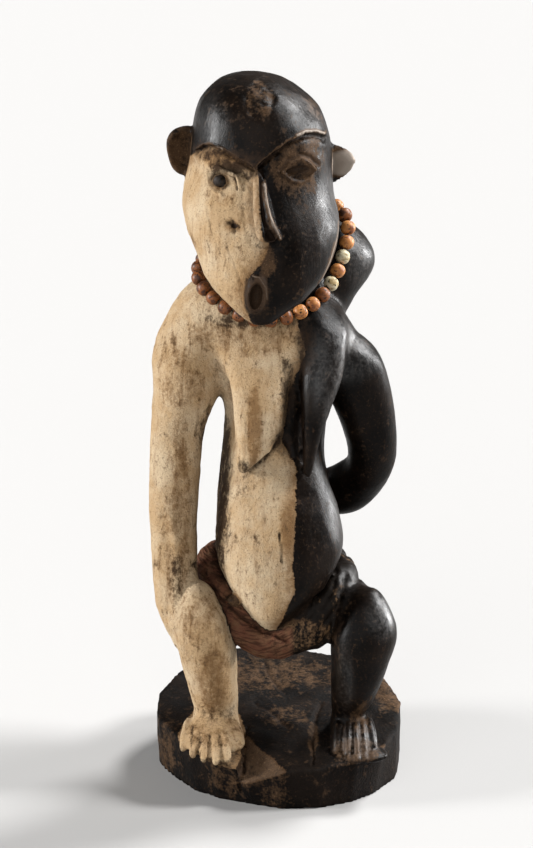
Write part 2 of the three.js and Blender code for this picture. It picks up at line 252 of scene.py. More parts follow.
upright = (0, 0, 1)
alongY = (0, 1, 0)
trunk = {
    "torso": {"join": 1, "stations": [
        (-1, 16, 112, 26, 24), (-1, 15, 138, 45, 36), (-1.5, 10, 176, 47.5, 36), (-4, 5, 214, 43.5, 31),
        (-5, 3, 252, 38.5, 29), (-3, 2, 290, 39.5, 32), (-8, 2, 325, 50, 35), (-10, 4, 352, 48, 33),
        (-10, 4, 374, 38, 26),
    ]},
    "belly": {"join": 5, "stations": [
        (-8, -48, 131, 10, 11), (-5, -41, 144, 23, 23), (-2, -32, 162, 38, 33), (-0.5, -23, 186, 47.5, 40),
        (-1.5, -17, 212, 45, 39), (-4, -11, 245, 37, 33), (-4, -5, 285, 33, 28), (-4, 0, 322, 28, 22),
    ]},
    "yoke": {"join": 7, "up": alongY, "blunt": 2.6, "stations": [
        (-90, 0, 326, 20, 22), (-70, 2, 339, 27, 28), (-42, 3, 357, 34, 32), (-8, 4, 356, 34, 34),
        (22, 6, 342, 32, 32), (42, 8, 322, 25, 27), (62, 8, 307, 22, 21),
    ]},
    "hump": {"join": 6, "blunt": 4, "stations": [
        (0, 20, 232, 26, 12), (0, 24, 266, 34, 19), (0, 29, 302, 38, 28), (3, 35, 336, 41, 35),
        (7, 40, 361, 49.5, 39), (15.5, 42, 386, 56.5, 38), (19, 42, 408, 49, 34), (20, 40, 430, 27, 22),
    ]},
    "neck": {"join": 6, "stations": [
        (-8, 6, 348, 44, 35), (-11, 4, 376, 43, 33), (-12, 1, 400, 37, 31), (-12, -5, 420, 31, 29),
        (-12, -8, 436, 29, 28),
    ]},
    "right_arm": {"join": 5, "stations": [
        (-80.5, -40, 117, 3, 5), (-79, -36, 142, 14, 13), (-79, -29, 172, 16.5, 16),
        (-79.5, -21, 215, 18.5, 18), (-78, -15, 252, 19.5, 18.5), (-76, -10, 275, 20.5, 20),
        (-70, -4, 300, 25, 26), (-66, 0, 328, 27, 28), (-57, 2, 358, 15, 22),
    ]},
    "left_arm": {"join": 5, "up": alongY, "stations": [
        (36, 8, 340, 18, 22), (52.5, 9, 316, 24.5, 23), (63, 12, 287, 22.5, 20), (69.5, 17, 257, 19.5, 17.5),
        (68, 26, 232, 18, 16), (53, 38, 211.5, 20.5, 15), (30, 45, 204, 18, 13), (13, 43, 204, 18, 10),
        (-6, 40, 205, 11, 5),
    ]},
    "right_buttock": {"join": 6, "at": (-22, 22, 134), "halves": (30, 27, 27)},
    "left_buttock": {"join": 6, "at": (22, 22, 134), "halves": (30, 27, 27)},
    "lap": {"join": 6, "at": (-1, -16, 135), "halves": (46, 34, 22)},
    "right_thigh": {"join": 4, "up": upright, "stations": [
        (-22, 20, 134, 27, 26), (-36, -2, 134, 23, 20), (-50, -24, 134, 19, 17), (-57, -42, 136, 16, 16),
    ]},
    "left_thigh": {"join": 4, "up": upright, "stations": [
        (25, 20, 134, 27, 26), (38, -2, 138, 24, 23), (51, -24, 139, 21, 20), (58, -42, 138, 18, 17),
    ]},
    "right_leg": {"join": 4, "blunt": 3.5, "stations": [
        (-48, -35, 40, 18, 17), (-48.5, -38, 60, 18, 17), (-51, -43, 80, 19, 18), (-54.5, -46, 108, 21.5, 20),
        (-57.5, -47, 124, 22, 21.5), (-60, -47, 142, 19.5, 20), (-62.5, -43, 163, 12.5, 16),
    ]},
    "left_leg": {"join": 4, "blunt": 3.5, "stations": [
        (52, -36, 38, 13.5, 14), (52.5, -38, 56, 13.5, 14), (56.5, -42, 75, 17.5, 17),
        (60.5, -45, 100, 22, 21), (63.5, -45, 126, 25, 23), (66, -41, 157, 15, 17),
    ]},
    "knot": {"join": 1.5, "at": (-35, -48, 150), "halves": (5.5, 5.5, 4.5)},
    "left_ledge": {"join": 1, "at": (60, -71, 35.5), "halves": (21, 12.5, 4)},
    "right_sole": {"join": 5, "up": upright, "blunt": 3, "stations": [
        (-48, -20, 46, 14, 11), (-49, -42, 48, 18, 14), (-50, -62, 43, 24, 9.5), (-50, -74, 38, 25, 6.5),
    ]},
    "left_sole": {"join": 5, "up": upright, "blunt": 3, "stations": [
        (51, -20, 46, 11, 10), (52, -38, 46, 13, 12), (55, -56, 43, 16, 9.5), (56, -68, 38, 17, 6.5),
    ]},
}
breasts = {
    "right_breast": {"join": 1, "stations": [
        (-27.5, -42, 249, 3, 4.5), (-24.7, -41.5, 256, 7, 8), (-19.5, -40, 266, 12.5, 10.5),
        (-15.2, -37.5, 283, 18, 12.5), (-15.3, -34, 303, 20, 12.5), (-15.7, -28, 322, 22.5, 12),
        (-18, -18, 350, 20, 10),
    ]},
    "left_breast": {"join": 1, "stations": [
        (20, -42.5, 246, 3, 4), (21.5, -42.5, 262, 5.5, 7), (23.5, -40, 281, 8.5, 9.5),
        (27, -36, 301, 12.5, 11.5), (31, -29, 323, 15.5, 12), (34, -19, 348, 15, 10),
    ]},
}
toes = {  # tip of each toe, its lean in x; each runs up the instep from its tip
    "radius": 4.1, "length": 28, "rise": 15, "join": 0.8,
    "right": [
        (-73, -70, 37.5, -4), (-65.5, -79, 36, -2), (-57, -85, 35, -1), (-48, -88, 34.5, 1),
        (-39.5, -86, 35, 3),
    ],
    "left": [(43, -72, 38, -2), (50.5, -77, 38, -1), (57.5, -78, 38, 0), (64, -75, 38, 1), (70, -70, 39, 3)],
}
# A thick roll round the hips and under the belly, its cloth drawn by slanting strokes of the knife
loincloth = {
    "closed": True, "up": upright, "join": 1.2, "stations": [
        (0, 44, 151, 12, 13), (34, 34, 151, 12, 13.5), (44, 8, 157, 11, 13.5), (48, -20, 151, 13.5, 17),
        (36, -34, 132, 12, 18), (20, -42, 121, 11, 13.5), (-4, -47, 117, 11, 13), (-24, -46, 125, 11, 14),
        (-41, -36, 142, 11.5, 14.5), (-52, -15, 155, 11.5, 14), (-53, 8, 160, 11.5, 13),
        (-38, 34, 157, 12, 13),
    ],
    "strokes": 30, "twist": 46,  # strokes round the roll, and how many of them its whole length turns past
    "breaks": 26,  # how often along the roll a stroke changes
    "red": (14, 4),  # over what x its black end turns red
    "lumps": [(12, 2.0), (6, 1.0)], "folds": [(9, 0.7)],
}
rim = [  # angle in degrees from +X, radius of the top edge, radius of the bottom edge
    (-176, 95.5, 94), (-167, 95, 89.5), (-155, 91, 86), (-139, 93, 85.5), (-122, 96, 85.5),
    (-104, 96.5, 84.5), (-90, 97, 90), (-72, 97, 93.5), (-55, 99.5, 95), (-40, 100, 95), (-22, 97.5, 95.5),
    (8, 96.5, 95.5), (35, 96.5, 93), (60, 93, 91), (78, 92, 90), (96, 95.5, 92), (112, 98.5, 94),
    (130, 96.5, 93), (147, 95.5, 93), (168, 96.5, 97),
]
base = {
    "height": 45, "slope": 0.125, "edge": 1.6, "join": 1.5,
    "reach": 70,  # height up to which its field is worked out
    "chipFade": (1.5, 0.7), "chipMargin": 12,  # how far a chip's bare wood reaches from its plane and points
    # how bare each chip has left the wood, three points of its plane, and two of the crack where it ends
    "chips": [
        (1.12, (-20, -56, 38.5), (0.7, -93, 33), (-28, -88, 18.5), (-24, -30), (-31, -92)),
        (0.85, (84, 26, 48.2), (91, -4, 44.5), (98, 16, 40)),
        (0.8, (80, 48, 51), (66, 66, 53), (89, 66, 40)),
        (0.5, (-64, -70, 36), (-86, -38, 40), (-87, -64, 27)),
        (0.6, (55, -78, 35), (76, -62, 37.5), (73, -78, 31)),
    ],
}
head = {
    "skin": {"blunt": 10, "square": 2.2, "stations": [
        (-14, -84, 373, 8, 6), (-13, -77, 381, 19, 17), (-12, -66, 390, 31, 30), (-11.5, -51, 403, 43, 45),
        (-10.8, -37, 418, 50.5, 57), (-12.6, -27, 435, 55.5, 63), (-16, -21, 455, 54.5, 64),
        (-14, -17, 480, 51.5, 62), (-15, -15, 502, 48, 58), (-17.5, -14, 520, 41, 49),
        (-21.5, -13, 534, 25.5, 34), (-23, -13, 540, 11, 15),
    ]},
    "browStep": 6.5, "browEdge": 2.2,
    "fade": (440, 476), "front": (20, 30),  # over what height and depth the step fades out
    "brow": [  # x and z of the brow's lower edge, from the right temple over the nose to the left temple
        (-66, 482), (-60, 490), (-54, 495.5), (-49, 497), (-42, 495.5), (-31, 490.5), (-24, 487),
        (-18.7, 483.4), (-12, 489), (-4, 495.5), (6, 501.5), (16.5, 505), (25, 503.5), (31, 499.5),
        (38, 491),
    ],
    "underside": [(-100, 358), (-34, 421), (0, 417), (70, 417)],  # y and z from the chin to the nape
    "undersideEdge": 2.2,
    "nose": {"join": 4, "blunt": 3, "stations": [
        (-9.5, -97, 435, 8, 8), (-11, -94, 444, 7.5, 8.5), (-13.5, -86, 462, 6, 7.5), (-17, -79, 482, 4.5, 5),
    ]},
    # lids, right eyeball and lips: centre, half axes, tilt in degrees, power of the section, fillet
    "raised": [
        ((-43, -64.5, 474), (10, 6, 7), (0, 0, 0), 2, 3),
        ((13, -62.5, 479.5), (11.5, 5.5, 6.5), (0, -6, 0), 2, 2),
        ((-43.5, -68.3, 473.3), (4.4, 4, 4.4), (0, 0, 0), 2, 0.4),
        ((-17.6, -92, 397.6), (8.8, 10, 15.2), (-6, 8, 0), 2.2, 1.2),
    ],
    "hollows": [  # mouth and nostril, then the socket above the right eye and the left eye's slit
        ((-17.4, -102, 397), (4.6, 10, 9.6), (-6, 8, 0), 2, 1),
        ((-7.6, -103, 438.5), (3.7, 6, 6.5), (0, 20, 0), 2, 1.2),
        ((-36, -73, 482), (12, 5.5, 3.8), (0, 16, 0), 2, 2),
        ((12, -69, 480.2), (7.5, 3.6, 2.6), (0, -10, 0), 2, 1),
    ],
    "ears": [  # centre, half axes, tilt, power of the section, and where the hollow lies from the centre
        ((-68, -8, 482.5), (14.5, 7, 18), (0, -14, 20), 2.4, (-1.5, -6.5, 0.5)),
        ((36.5, -8, 474), (19.5, 7, 15), (0, -9, -14), 1.35, (1, -7, 0)),
    ],
    "earHollow": 0.8, "earHollowDepth": 5.5, "join": 2.2,
    "reach": (355, 70),  # above what height and in front of what y its field is worked out
}


def sampled(form):
    # the form's spine and half sizes at even steps of t, with the tangents of the spine
    t = np.linspace(0, 1, 97)
    stations = np.array(form["stations"], float)
    rows = spline(stations, t, form.get("closed", False))
    along = np.gradient(rows[:, :3], t, axis=0)
    if form.get("closed"):
        along[0] = along[-1] = (rows[1, :3] - rows[-2, :3]) / (2 * t[1])
    reach = stations[:, 3:].max() + 3 * form.get("join", 4) + 4
    box = stations[:, :3].min(axis=0) - reach, stations[:, :3].max(axis=0) + reach
    form.update(t=t, rows=rows, along=along, box=box)


def sectionRatio(side, depth, width, height, square):
    # how many times its section's outline a point is from the spine, for an ellipse (2) or squarer (over 2)
    return (np.abs(side / width) ** square + np.abs(depth / height) ** square) ** (1 / square)


def closedEnds(place, ratio, form):
    # the section's ratio joined with the place's own, from 0 to 1 along the form, so that both ends close
    blunt = form.get("blunt", 6)
    return (np.abs(1 - 2 * place) ** blunt + ratio**blunt) ** (1 / blunt)


def levelField(p, form, sink=None):
    # level sections: the ratio to the section at that height, less 1, times its lesser half
    t, rows = form["t"], form["rows"]
    z = p[:, 2]
    place = np.interp(z, rows[:, 2], t)
    place = place + (z - np.clip(z, rows[0, 2], rows[-1, 2])) / (rows[-1, 2] - rows[0, 2])
    x, y, width, depth = (np.interp(place, t, rows[:, i]) for i in (0, 1, 3, 4))
    if sink is not None:
        depth = depth - sink
    ratio = sectionRatio(p[:, 0] - x, p[:, 1] - y, width, depth, form.get("square", 2))
    return (closedEnds(place, ratio, form) - 1) * np.minimum(width, depth)


def spinePlace(p, form):
    # each point's place along the spine, and how far it is from the spine sideways and in depth
    t, rows, along = form["t"], form["rows"], form["along"]
    path = rows[:, :3]
    nearest = ((path**2).sum(axis=1) - 2 * p @ path.T).argmin(axis=1)
    speed = (along[nearest] ** 2).sum(axis=1)
    place = t[nearest] + ((p - path[nearest]) * along[nearest]).sum(axis=1) / speed
    where = place % 1 if form.get("closed") else place
    centre = np.stack([np.interp(where, t, rows[:, i]) for i in range(3)], axis=1)
    heading = np.stack([np.interp(where, t, along[:, i]) for i in range(3)], axis=1)
    side = np.cross(np.array(form["up"], float), heading)
    side /= np.linalg.norm(side, axis=1, keepdims=True)
    depth = np.cross(heading, side)
    depth /= np.linalg.norm(depth, axis=1, keepdims=True)
    off = p - centre
    return place, where, (off * side).sum(axis=1), (off * depth).sum(axis=1)


def spineField(p, form):
    # the same with sections square to a curved spine, closed at both ends or running on in a ring
    place, where, side, depth = spinePlace(p, form)
    width, height = (np.interp(where, form["t"], form["rows"][:, i]) for i in (3, 4))
    ratio = sectionRatio(side, depth, width, height, 2)
    if not form.get("closed"):
        ratio = closedEnds(place, ratio, form)
    return (ratio - 1) * np.minimum(width, height)


def ballField(p, at, halves, tilt=(0, 0, 0), power=2):
    # an ellipsoid, squarer or sharper by its power: distance in half axes, less 1, times the least half
    turn = np.array(Euler([math.radians(a) for a in tilt], "ZYX").to_matrix())
    off = np.abs((p - at) @ turn / halves) + 1e-9
    return ((off**power).sum(axis=1) ** (1 / power) - 1) * min(halves)


def joined(field, p, form, join=None):
    # the field with one more form joined to it, worked out only for the points near that form
    if "at" in form:
        reach = np.array(form["halves"]) + 3 * form["join"] + 4
        near = (np.abs(p - form["at"]) < reach).all(axis=1)
        extra = ballField(p[near], form["at"], form["halves"])
    else:
        near = ((p > form["box"][0]) & (p < form["box"][1])).all(axis=1)
        extra = (spineField if "up" in form else levelField)(p[near], form)
    k = form["join"] if join is None else join[near]
    field[near] = union(field[near], extra, k)
    return field


def planeDistance(p, a, b, c):
    # distance from the plane through three points, above zero on its upper side
    normal = np.cross(np.subtract(b, a), np.subtract(c, a))
    return (p - a) @ normal * np.sign(normal[2]) / np.linalg.norm(normal)


def baseField(p):
    # a slice of trunk: straight chords between the rim's corners, its top rising to the back, its edges eased
    angles, tops, bottoms = np.array(rim, float).T
    angles = np.radians(np.append(angles, angles[0] + 360))
    turn = (np.arctan2(p[:, 1], p[:, 0]) - angles[0]) % (2 * np.pi) + angles[0]
    after = np.clip(np.searchsorted(angles, turn), 1, len(rim))
    a, b = angles[after - 1], angles[after]
    top = base["height"] + base["slope"] * p[:, 1]
    level = np.clip(p[:, 2] / top, 0, 1)
    start, end = (bottoms[i] + (tops[i] - bottoms[i]) * level for i in (after - 1, after % len(rim)))
    radius = start * end * np.sin(b - a) / (start * np.sin(turn - a) + end * np.sin(b - turn))
    side = np.hypot(p[:, 0], p[:, 1]) - radius
    for _, a, b, c, *crack in base["chips"]:
        above = planeDistance(p, a, b, c)
        if crack:
            along = np.subtract(crack[1], crack[0])
            beyond = (p[:, 0] - crack[0][0]) * -along[1] + (p[:, 1] - crack[0][1]) * along[0]
            above = np.minimum(above, beyond / np.linalg.norm(along))
        side = cut(side, -above, 1)
    return cut(side, -np.maximum(p[:, 2] - top, -p[:, 2]), base["edge"])


def headField(p):
    # the face: a tapering mask, sunk under the line of the brow, with a nose, lids, lips and cupped ears
    brow = readOff(head["brow"], p[:, 0])
    sink = head["browStep"] * ease(brow - p[:, 2], -head["browEdge"] / 2, head["browEdge"] / 2)
    sink = sink * ease(p[:, 2], *head["fade"]) * ease(-p[:, 1], *head["front"])
    field = levelField(p, head["skin"], sink)
    field = joined(field, p, head["nose"])
    for at, halves, tilt, power, k in head["raised"]:
        field = union(field, ballField(p, at, halves, tilt, power), k)
    for at, halves, tilt, power, k in head["hollows"]:
        field = cut(field, ballField(p, at, halves, tilt, power), k)
    floor = readOff(head["underside"], p[:, 1])
    field = cut(field, p[:, 2] - floor, head["undersideEdge"])
    for at, halves, tilt, power, hollow in head["ears"]:
        inner = np.array(halves) * head["earHollow"]
        inner[1] = head["earHollowDepth"]
        cup = ballField(p, np.add(at, hollow), inner, tilt, power)
        field = union(field, cut(ballField(p, at, halves, tilt, power), cup, 1), 2)
    return field


def clay(p):
    # the whole block: the forms joined one after another, below zero inside the wood
    field = np.full(len(p), 60.0)
    for form in trunk.values():
        field = joined(field, p, form)
    for form in breasts.values():
        field = joined(field, p, form, 1.6 + 9 * ease(p[:, 2], 296, 345))  # softer towards the shoulder
    for form in (loincloth, *toeForms):
        field = joined(field, p, form)
    low = p[:, 2] < base["reach"]
    field[low] = union(field[low], baseField(p[low]), base["join"])
    high = (p[:, 2] > head["reach"][0]) & (p[:, 1] < head["reach"][1])
    field[high] = union(field[high], headField(p[high]), head["join"])
    return field


toeForms = [
    {"up": upright, "blunt": 3, "join": toes["join"], "stations": [
        (x - lean, y + toes["length"], z + toes["rise"], toes["radius"] * 0.8, toes["radius"] * 0.85),
        (x - lean / 2, y + toes["length"] / 2, z + toes["rise"] * 0.6, toes["radius"] * 0.9, toes["radius"]),
        (x, y, z, toes["radius"], toes["radius"]),
    ]}
    for foot in ("right", "left")
    for x, y, z, lean in toes[foot]
]
for form in [*trunk.values(), *breasts.values(), loincloth, *toeForms, head["skin"], head["nose"]]:
    if "stations" in form:
        sampled(form)


# Lines of the knife, seen from the front: x and z of their points, half width, depth (below zero a ridge)

browLine = np.array(head["brow"][1:-1], float)
noseWing = [(-12, 474), (-11, 465), (-9, 456), (-6.2, 447), (-3, 440.5), (-0.8, 436)]
faceLines = [
    (browLine + (0, 0.6), 0.9, -0.7),
    (browLine + (0, -2.2), 1.7, 2.2),
    (browLine + (0, -7), 2.4, -0.6),
    # right eye: lids, the crease over them and the rim of the eyeball
    ([(-50, 481.5), (-43, 482), (-38.5, 480), (-33, 477.5), (-29.5, 474), (-29, 469)], 1.1, -1.7),
    ([(-38, 478.2), (-33.5, 475.8), (-30.8, 472.5), (-30.6, 468.5)], 0.8, 1.5),
    ([(-42, 485), (-36, 484.5), (-28, 480), (-23, 476)], 2.2, 1.8),
    ([(-52, 477), (-50.5, 470), (-46.5, 465.2), (-42, 463.5)], 1.0, -1.2),
    ([(-49, 474), (-47, 478), (-42.5, 479.3), (-38.6, 477), (-37.4, 472.5), (-39.5, 468.6), (-44, 467.8)],
     0.9, 1.6),
    # left eye
    ([(1, 479.5), (6, 485), (13.5, 487.6), (20.5, 485), (24.5, 480)], 1.1, -1.3),
    ([(0, 481), (6, 488), (13.5, 490.8), (21, 488), (27, 481)], 1.3, 1.2),
    ([(1, 479.5), (7, 473.6), (14, 471), (20.5, 473.2), (24.5, 480)], 1.1, -1.1),
    ([(5, 478.7), (11, 481.6), (18.5, 481.8)], 1.4, 1.5),
    # nose: the groove beside its ridge, the wing, the edge of its white side, the lip under it
    ([(-13.9, 480), (-13.6, 463), (-12.4, 453), (-9.6, 444), (-7, 438)], 1.7, 3.0),
    ([(-12.2, 454), (-9.2, 445), (-6.5, 437)], 2.4, 1.6),
    (noseWing, 1.3, -1.8),
    ([(-26, 478), (-26.5, 462), (-25, 446), (-22, 434)], 1.6, 0.5),
    ([(-21, 433), (-13, 430), (-5, 428.8), (2, 433)], 1.6, 0.7),
    # right cheek: its pit, then faint cuts
    ([(-36.5, 446), (-32, 444.5), (-29.5, 443.5)], 1.7, 1.8),
    ([(-34, 447.5), (-32.5, 440.5)], 1.4, 1.4),
    ([(-52, 455), (-49, 440), (-43, 424)], 0.7, 0.5),
    ([(-38, 430), (-31, 415), (-27, 404)], 0.7, 0.5),
]
bodyLines = [
    ([(-0.9, 206), (0.4, 198), (0.2, 192), (1.4, 186)], 0.9, 1.8),  # crack in the belly
    ([(36, 172), (29.5, 153), (22, 139)], 1.3, -0.9),  # ridge along the belly's lower edge
    ([(-80, 212), (-75, 180), (-80.5, 130)], 3, -3),  # keel of the mitten hand
    # under the right breast
    ([(9, 326), (6.4, 303), (4.8, 284), (-3, 268), (-13, 258), (-22, 251)], 1.3, 1.8),
    ([(3, 274), (6.5, 267), (9, 259)], 1.6, 1.8),
    ([(-8, 266), (-1, 261), (3.5, 255)], 2.2, -1.0),
    ([(-31, 262), (-28.5, 254), (-24.5, 259)], 0.8, 1.0),  # nipples
    ([(18.5, 256), (20.5, 250), (23, 256)], 0.8, 0.8),
    ([(14.5, 303), (16, 281), (17, 254)], 1.0, 1.0),
    ([(46, 322), (52, 312), (57, 300)], 0.9, 0.9),
    # between the two strands of the cloth, and the folds of its left end
    ([(-66, 176), (-54, 161), (-42, 149), (-28, 138), (-12, 128), (4, 121)], 1.5, 2.4),
    ([(14, 117), (30, 127), (42, 143), (50, 164)], 1.4, 1.9),
    ([(24, 111), (37, 121), (47, 136)], 1.2, 1.4),
    ([(30, 142), (40, 156), (44, 172)], 1.3, 1.4),
]
toeLines = [  # the groove between each two neighbouring toes, from under their tips up the instep
    ([(x, z - 4), (x - lean, z + toes["rise"])], 1.1, 1.2)
    for foot in ("right", "left")
    for pair in itertools.pairwise(toes[foot])
    for x, _, z, lean in [np.mean(pair, axis=0)]
]
# between which heights each set of lines lies
knifeWork = [(365, 530, faceLines), (100, 360, bodyLines), (30, 58, toeLines)]
groundLines = [  # seen from above, on the base's top: x and y of their points
    ([(-24, -30), (-28, -54), (-27.5, -74), (-31, -92), (-32, -108)], 1.1, 2.6),
    ([(32.5, 3), (28, -12), (26, -30), (25.5, -48), (25, -84)], 1.6, 2.8),
    ([(-12, 70), (-6, 40), (4, 18)], 1.0, 1.4),
    ([(60, 70), (48, 40), (40, 22)], 1.0, 1.2),
    ([(-20, 4), (-4, -14), (6, -34)], 1.4, 1.3),
]

# The two halves of the paint, what time has done to them, and painted light and shade

paint = {
    "seam": [  # height and x of the seam between white and black, down the front
        (120, -3), (129.7, -2.2), (142.4, 3), (155, 7.4), (163.7, 11.8), (179.4, 9.6), (202, 10.3),
        (230.5, 11.8), (251.8, 12.5), (262, 7.4), (271, 1), (280.6, 3.7), (306, 7.5), (319.8, 11.5),
        (336.8, 19), (356.8, 13), (440, 8),
    ],
    "faceSeam": [
        (372, -20), (382, -23), (390, -25), (400, -25.5), (408, -23), (414, -18), (420, -13), (427, -9),
        (433, -8), (438, -11.5), (446, -13.8), (462, -15), (478, -15.2), (490, -17),
    ],
    "backSeam": -5, "seamTurn": (-5, 25),  # x of the seam down the back, and over what y it gets there
    "hairline": 2, "hairlineLean": 0.35, "hairlineHeight": 440,  # y where the cheek's white ends, its lean
    "belowBrow": 1,
    "chin": 366, "nape": 424,  # the head's paint starts over the first, and is the only one over the second
    "foot": [  # x and y of the white patch that the right foot stands in
        (-66, -5), (-78, -43), (-74, -77), (-57, -97), (-40, -97), (-30, -92), (-25.5, -69), (-26, -35),
        (-31, -13),
    ],
    "footDepth": 3,
    # centre and half axes of what stays dark on the white side
    "dark": [
        # head
        (-43.4, -70, 473.2, 4.6, 8, 4.6), (-33, -78, 444, 3.8, 8, 3.2), (-70, -8, 482, 17, 14, 22),
        # hips, hand and legs
        (-36, -50, 150, 6, 8, 5),
    ],
    # centre, half axes and amount of what is worn through or rubbed with earth, and of a painted sheen inside
    # the left ear
    "wearAndHighlights": [
        # head; the patch at 46, -15, 474 is pale dust with a painted sheen in the left ear
        (-24, -96, 416, 9, 14, 22, 0.5), (-9, -96, 421, 9, 12, 13, 0.8), (-56, -48, 430, 12, 20, 16, 0.6),
        (-40, -66, 462, 16, 20, 8, 0.5), (8, -62, 470, 20, 18, 14, 0.5), (-72, -14, 482, 17, 14, 20, 1.05),
        (46, -15, 474, 19, 14, 13, 1.6), (20, -40, 486, 14, 30, 12, 0.6), (12, -64, 480, 26, 16, 18, 0.8),
        (-40, -62, 487, 26, 20, 7, 1.1), (20, -56, 497, 22, 18, 7, 0.6), (-17.6, -98, 398, 10, 14, 17, 0.9),
        (-40, -56, 524, 12, 12, 8, 0.4), (30, -30, 520, 16, 20, 14, 0.5),
        # neck, trunk and arms
        (-73, -45, 235, 8, 26, 84, 0.8), (-19, -52, 290, 6, 16, 46, 1.15), (-30, -30, 348, 46, 30, 16, 0.7),
        (-46, -12, 200, 9, 40, 62, 0.8), (5, -62, 214, 7, 20, 26, 0.95), (-72, -14, 315, 20, 26, 34, 0.7),
        (-80, -30, 190, 12, 40, 60, 0.6),
        # hips, hand and legs
        (-50, -58, 92, 14, 18, 44, 0.9), (-36, -52, 150, 9, 9, 8, 0.9), (-58, -60, 140, 18, 20, 22, 0.7),
        (46, -24, 150, 9, 16, 12, 0.9), (16, -50, 124, 24, 14, 12, 1.1), (44, -30, 140, 12, 16, 20, 0.8),
        (62, -58, 60, 9, 14, 16, 0.6),
        # feet and base
        (-50, -62, 50, 26, 24, 12, 0.55), (57, -76, 41, 20, 14, 9, 0.9), (-8, 40, 54, 64, 42, 8, 0.65),
        (6, -20, 46, 26, 24, 8, 0.5), (-55, 0, 46, 20, 30, 8, 0.5), (86, 14, 45, 12, 28, 8, 0.75),
        (80, 50, 48, 14, 18, 8, 0.7), (-30, -60, 36, 5, 36, 14, 0.8), (25, -50, 40, 5, 30, 8, 0.9),
        (-60, -90, 18, 44, 26, 22, 0.52), (-6, -93, 14, 18, 10, 24, 0.5), (-88, -30, 22, 16, 50, 26, 0.55),
    ],
    # the same for dark dirt and soot, and for painted shade in hollows and under overhangs
    "dirtAndShade": [
        # head: under the brow, over the right eye, in the mouth and nostril and on the chest under the chin
        # this is painted shade as well as dirt
        (-36, -68, 484, 22, 16, 9, 0.8), (-34, -68, 482.5, 10, 14, 5, 1.4), (-56, -50, 490, 14, 20, 7, 0.8),
        (-32, -68, 491, 32, 18, 5, 0.85), (-43, -70, 473, 9, 12, 8, 0.7), (-22, -76, 482, 10, 16, 8, 0.9),
        (-17, -98, 397.5, 10.5, 14, 17, 1.2), (-7, -100, 439, 6, 10, 8, 1.0), (-12, -96, 424, 6, 12, 7, 0.4),
        (-20, -34, 362, 40, 34, 8, 0.8), (-60, 10, 482, 9, 14, 16, 0.9), (13, -66, 480.5, 9, 12, 4, 1.0),
        # neck, trunk and arms: the torso's side next to the right arm and the armpit are painted shade as
        # well as dirt
        (-44, 0, 215, 10, 56, 92, 1.15), (-57, -2, 278, 10, 34, 20, 0.7), (-28, -48, 254, 6, 10, 7, 0.8),
        (2, -40, 272, 12, 14, 12, 0.7), (6, -38, 310, 7, 16, 34, 0.8), (19, -28, 338, 9, 14, 26, 0.9),
        # hips, hand and legs
        (-50, -50, 62, 20, 14, 7, 0.5), (-77, -50, 172, 4.5, 14, 24, 0.6), (-62, -36, 126, 20, 26, 10, 0.6),
        (-8, -44, 118, 30, 14, 8, 0.5),
        # feet and base
        (-44, -84, 35, 34, 22, 4, 0.7),
    ],
    # the same for what hands have polished
    "handled": [
        # head
        (34, -40, 445, 14, 26, 32, 0.8), (24, -50, 518, 20, 26, 22, 0.7), (-48, -46, 512, 13, 26, 20, 0.8),
        (62, 10, 398, 16, 34, 26, 0.8), (-43.4, -70, 473.2, 5, 8, 5, 1.0),
        # neck, trunk and arms
        (38, -36, 322, 18, 24, 46, 1.0), (52, -18, 332, 28, 28, 24, 1.0), (42, -20, 215, 8, 24, 50, 0.6),
        # hips, hand and legs
        (74, -52, 138, 12, 18, 20, 1.0), (48, -60, 90, 7, 16, 34, 0.9), (51, -32, 158, 9, 14, 15, 1.0),
        # feet and base
        (58, -70, 45, 20, 22, 12, 0.8),
    ],
    # lines seen from the front, painted light: highlights along the brows, the nose's wing and the lip, and
    # along the jaw wear with a painted highlight: x and z, half width, amount
    "wearAndHighlightLines": [
        ([(42.5, 434), (34.5, 412.5), (24.5, 393.5), (6, 373)], 1.6, 1.4), (browLine + (0, 0.8), 1.1, 1.0),
        ([(11, 504.5), (17, 506.3), (25, 504.8), (31, 500.5)], 1.2, 1.6),
        ([(-49, 496), (-42, 494.5)], 1.3, 1.6), (noseWing, 1.3, 1.5),
        ([(-21, 411), (-15, 410), (-10.5, 403), (-9.5, 394)], 1.1, 1.3),
    ],
}

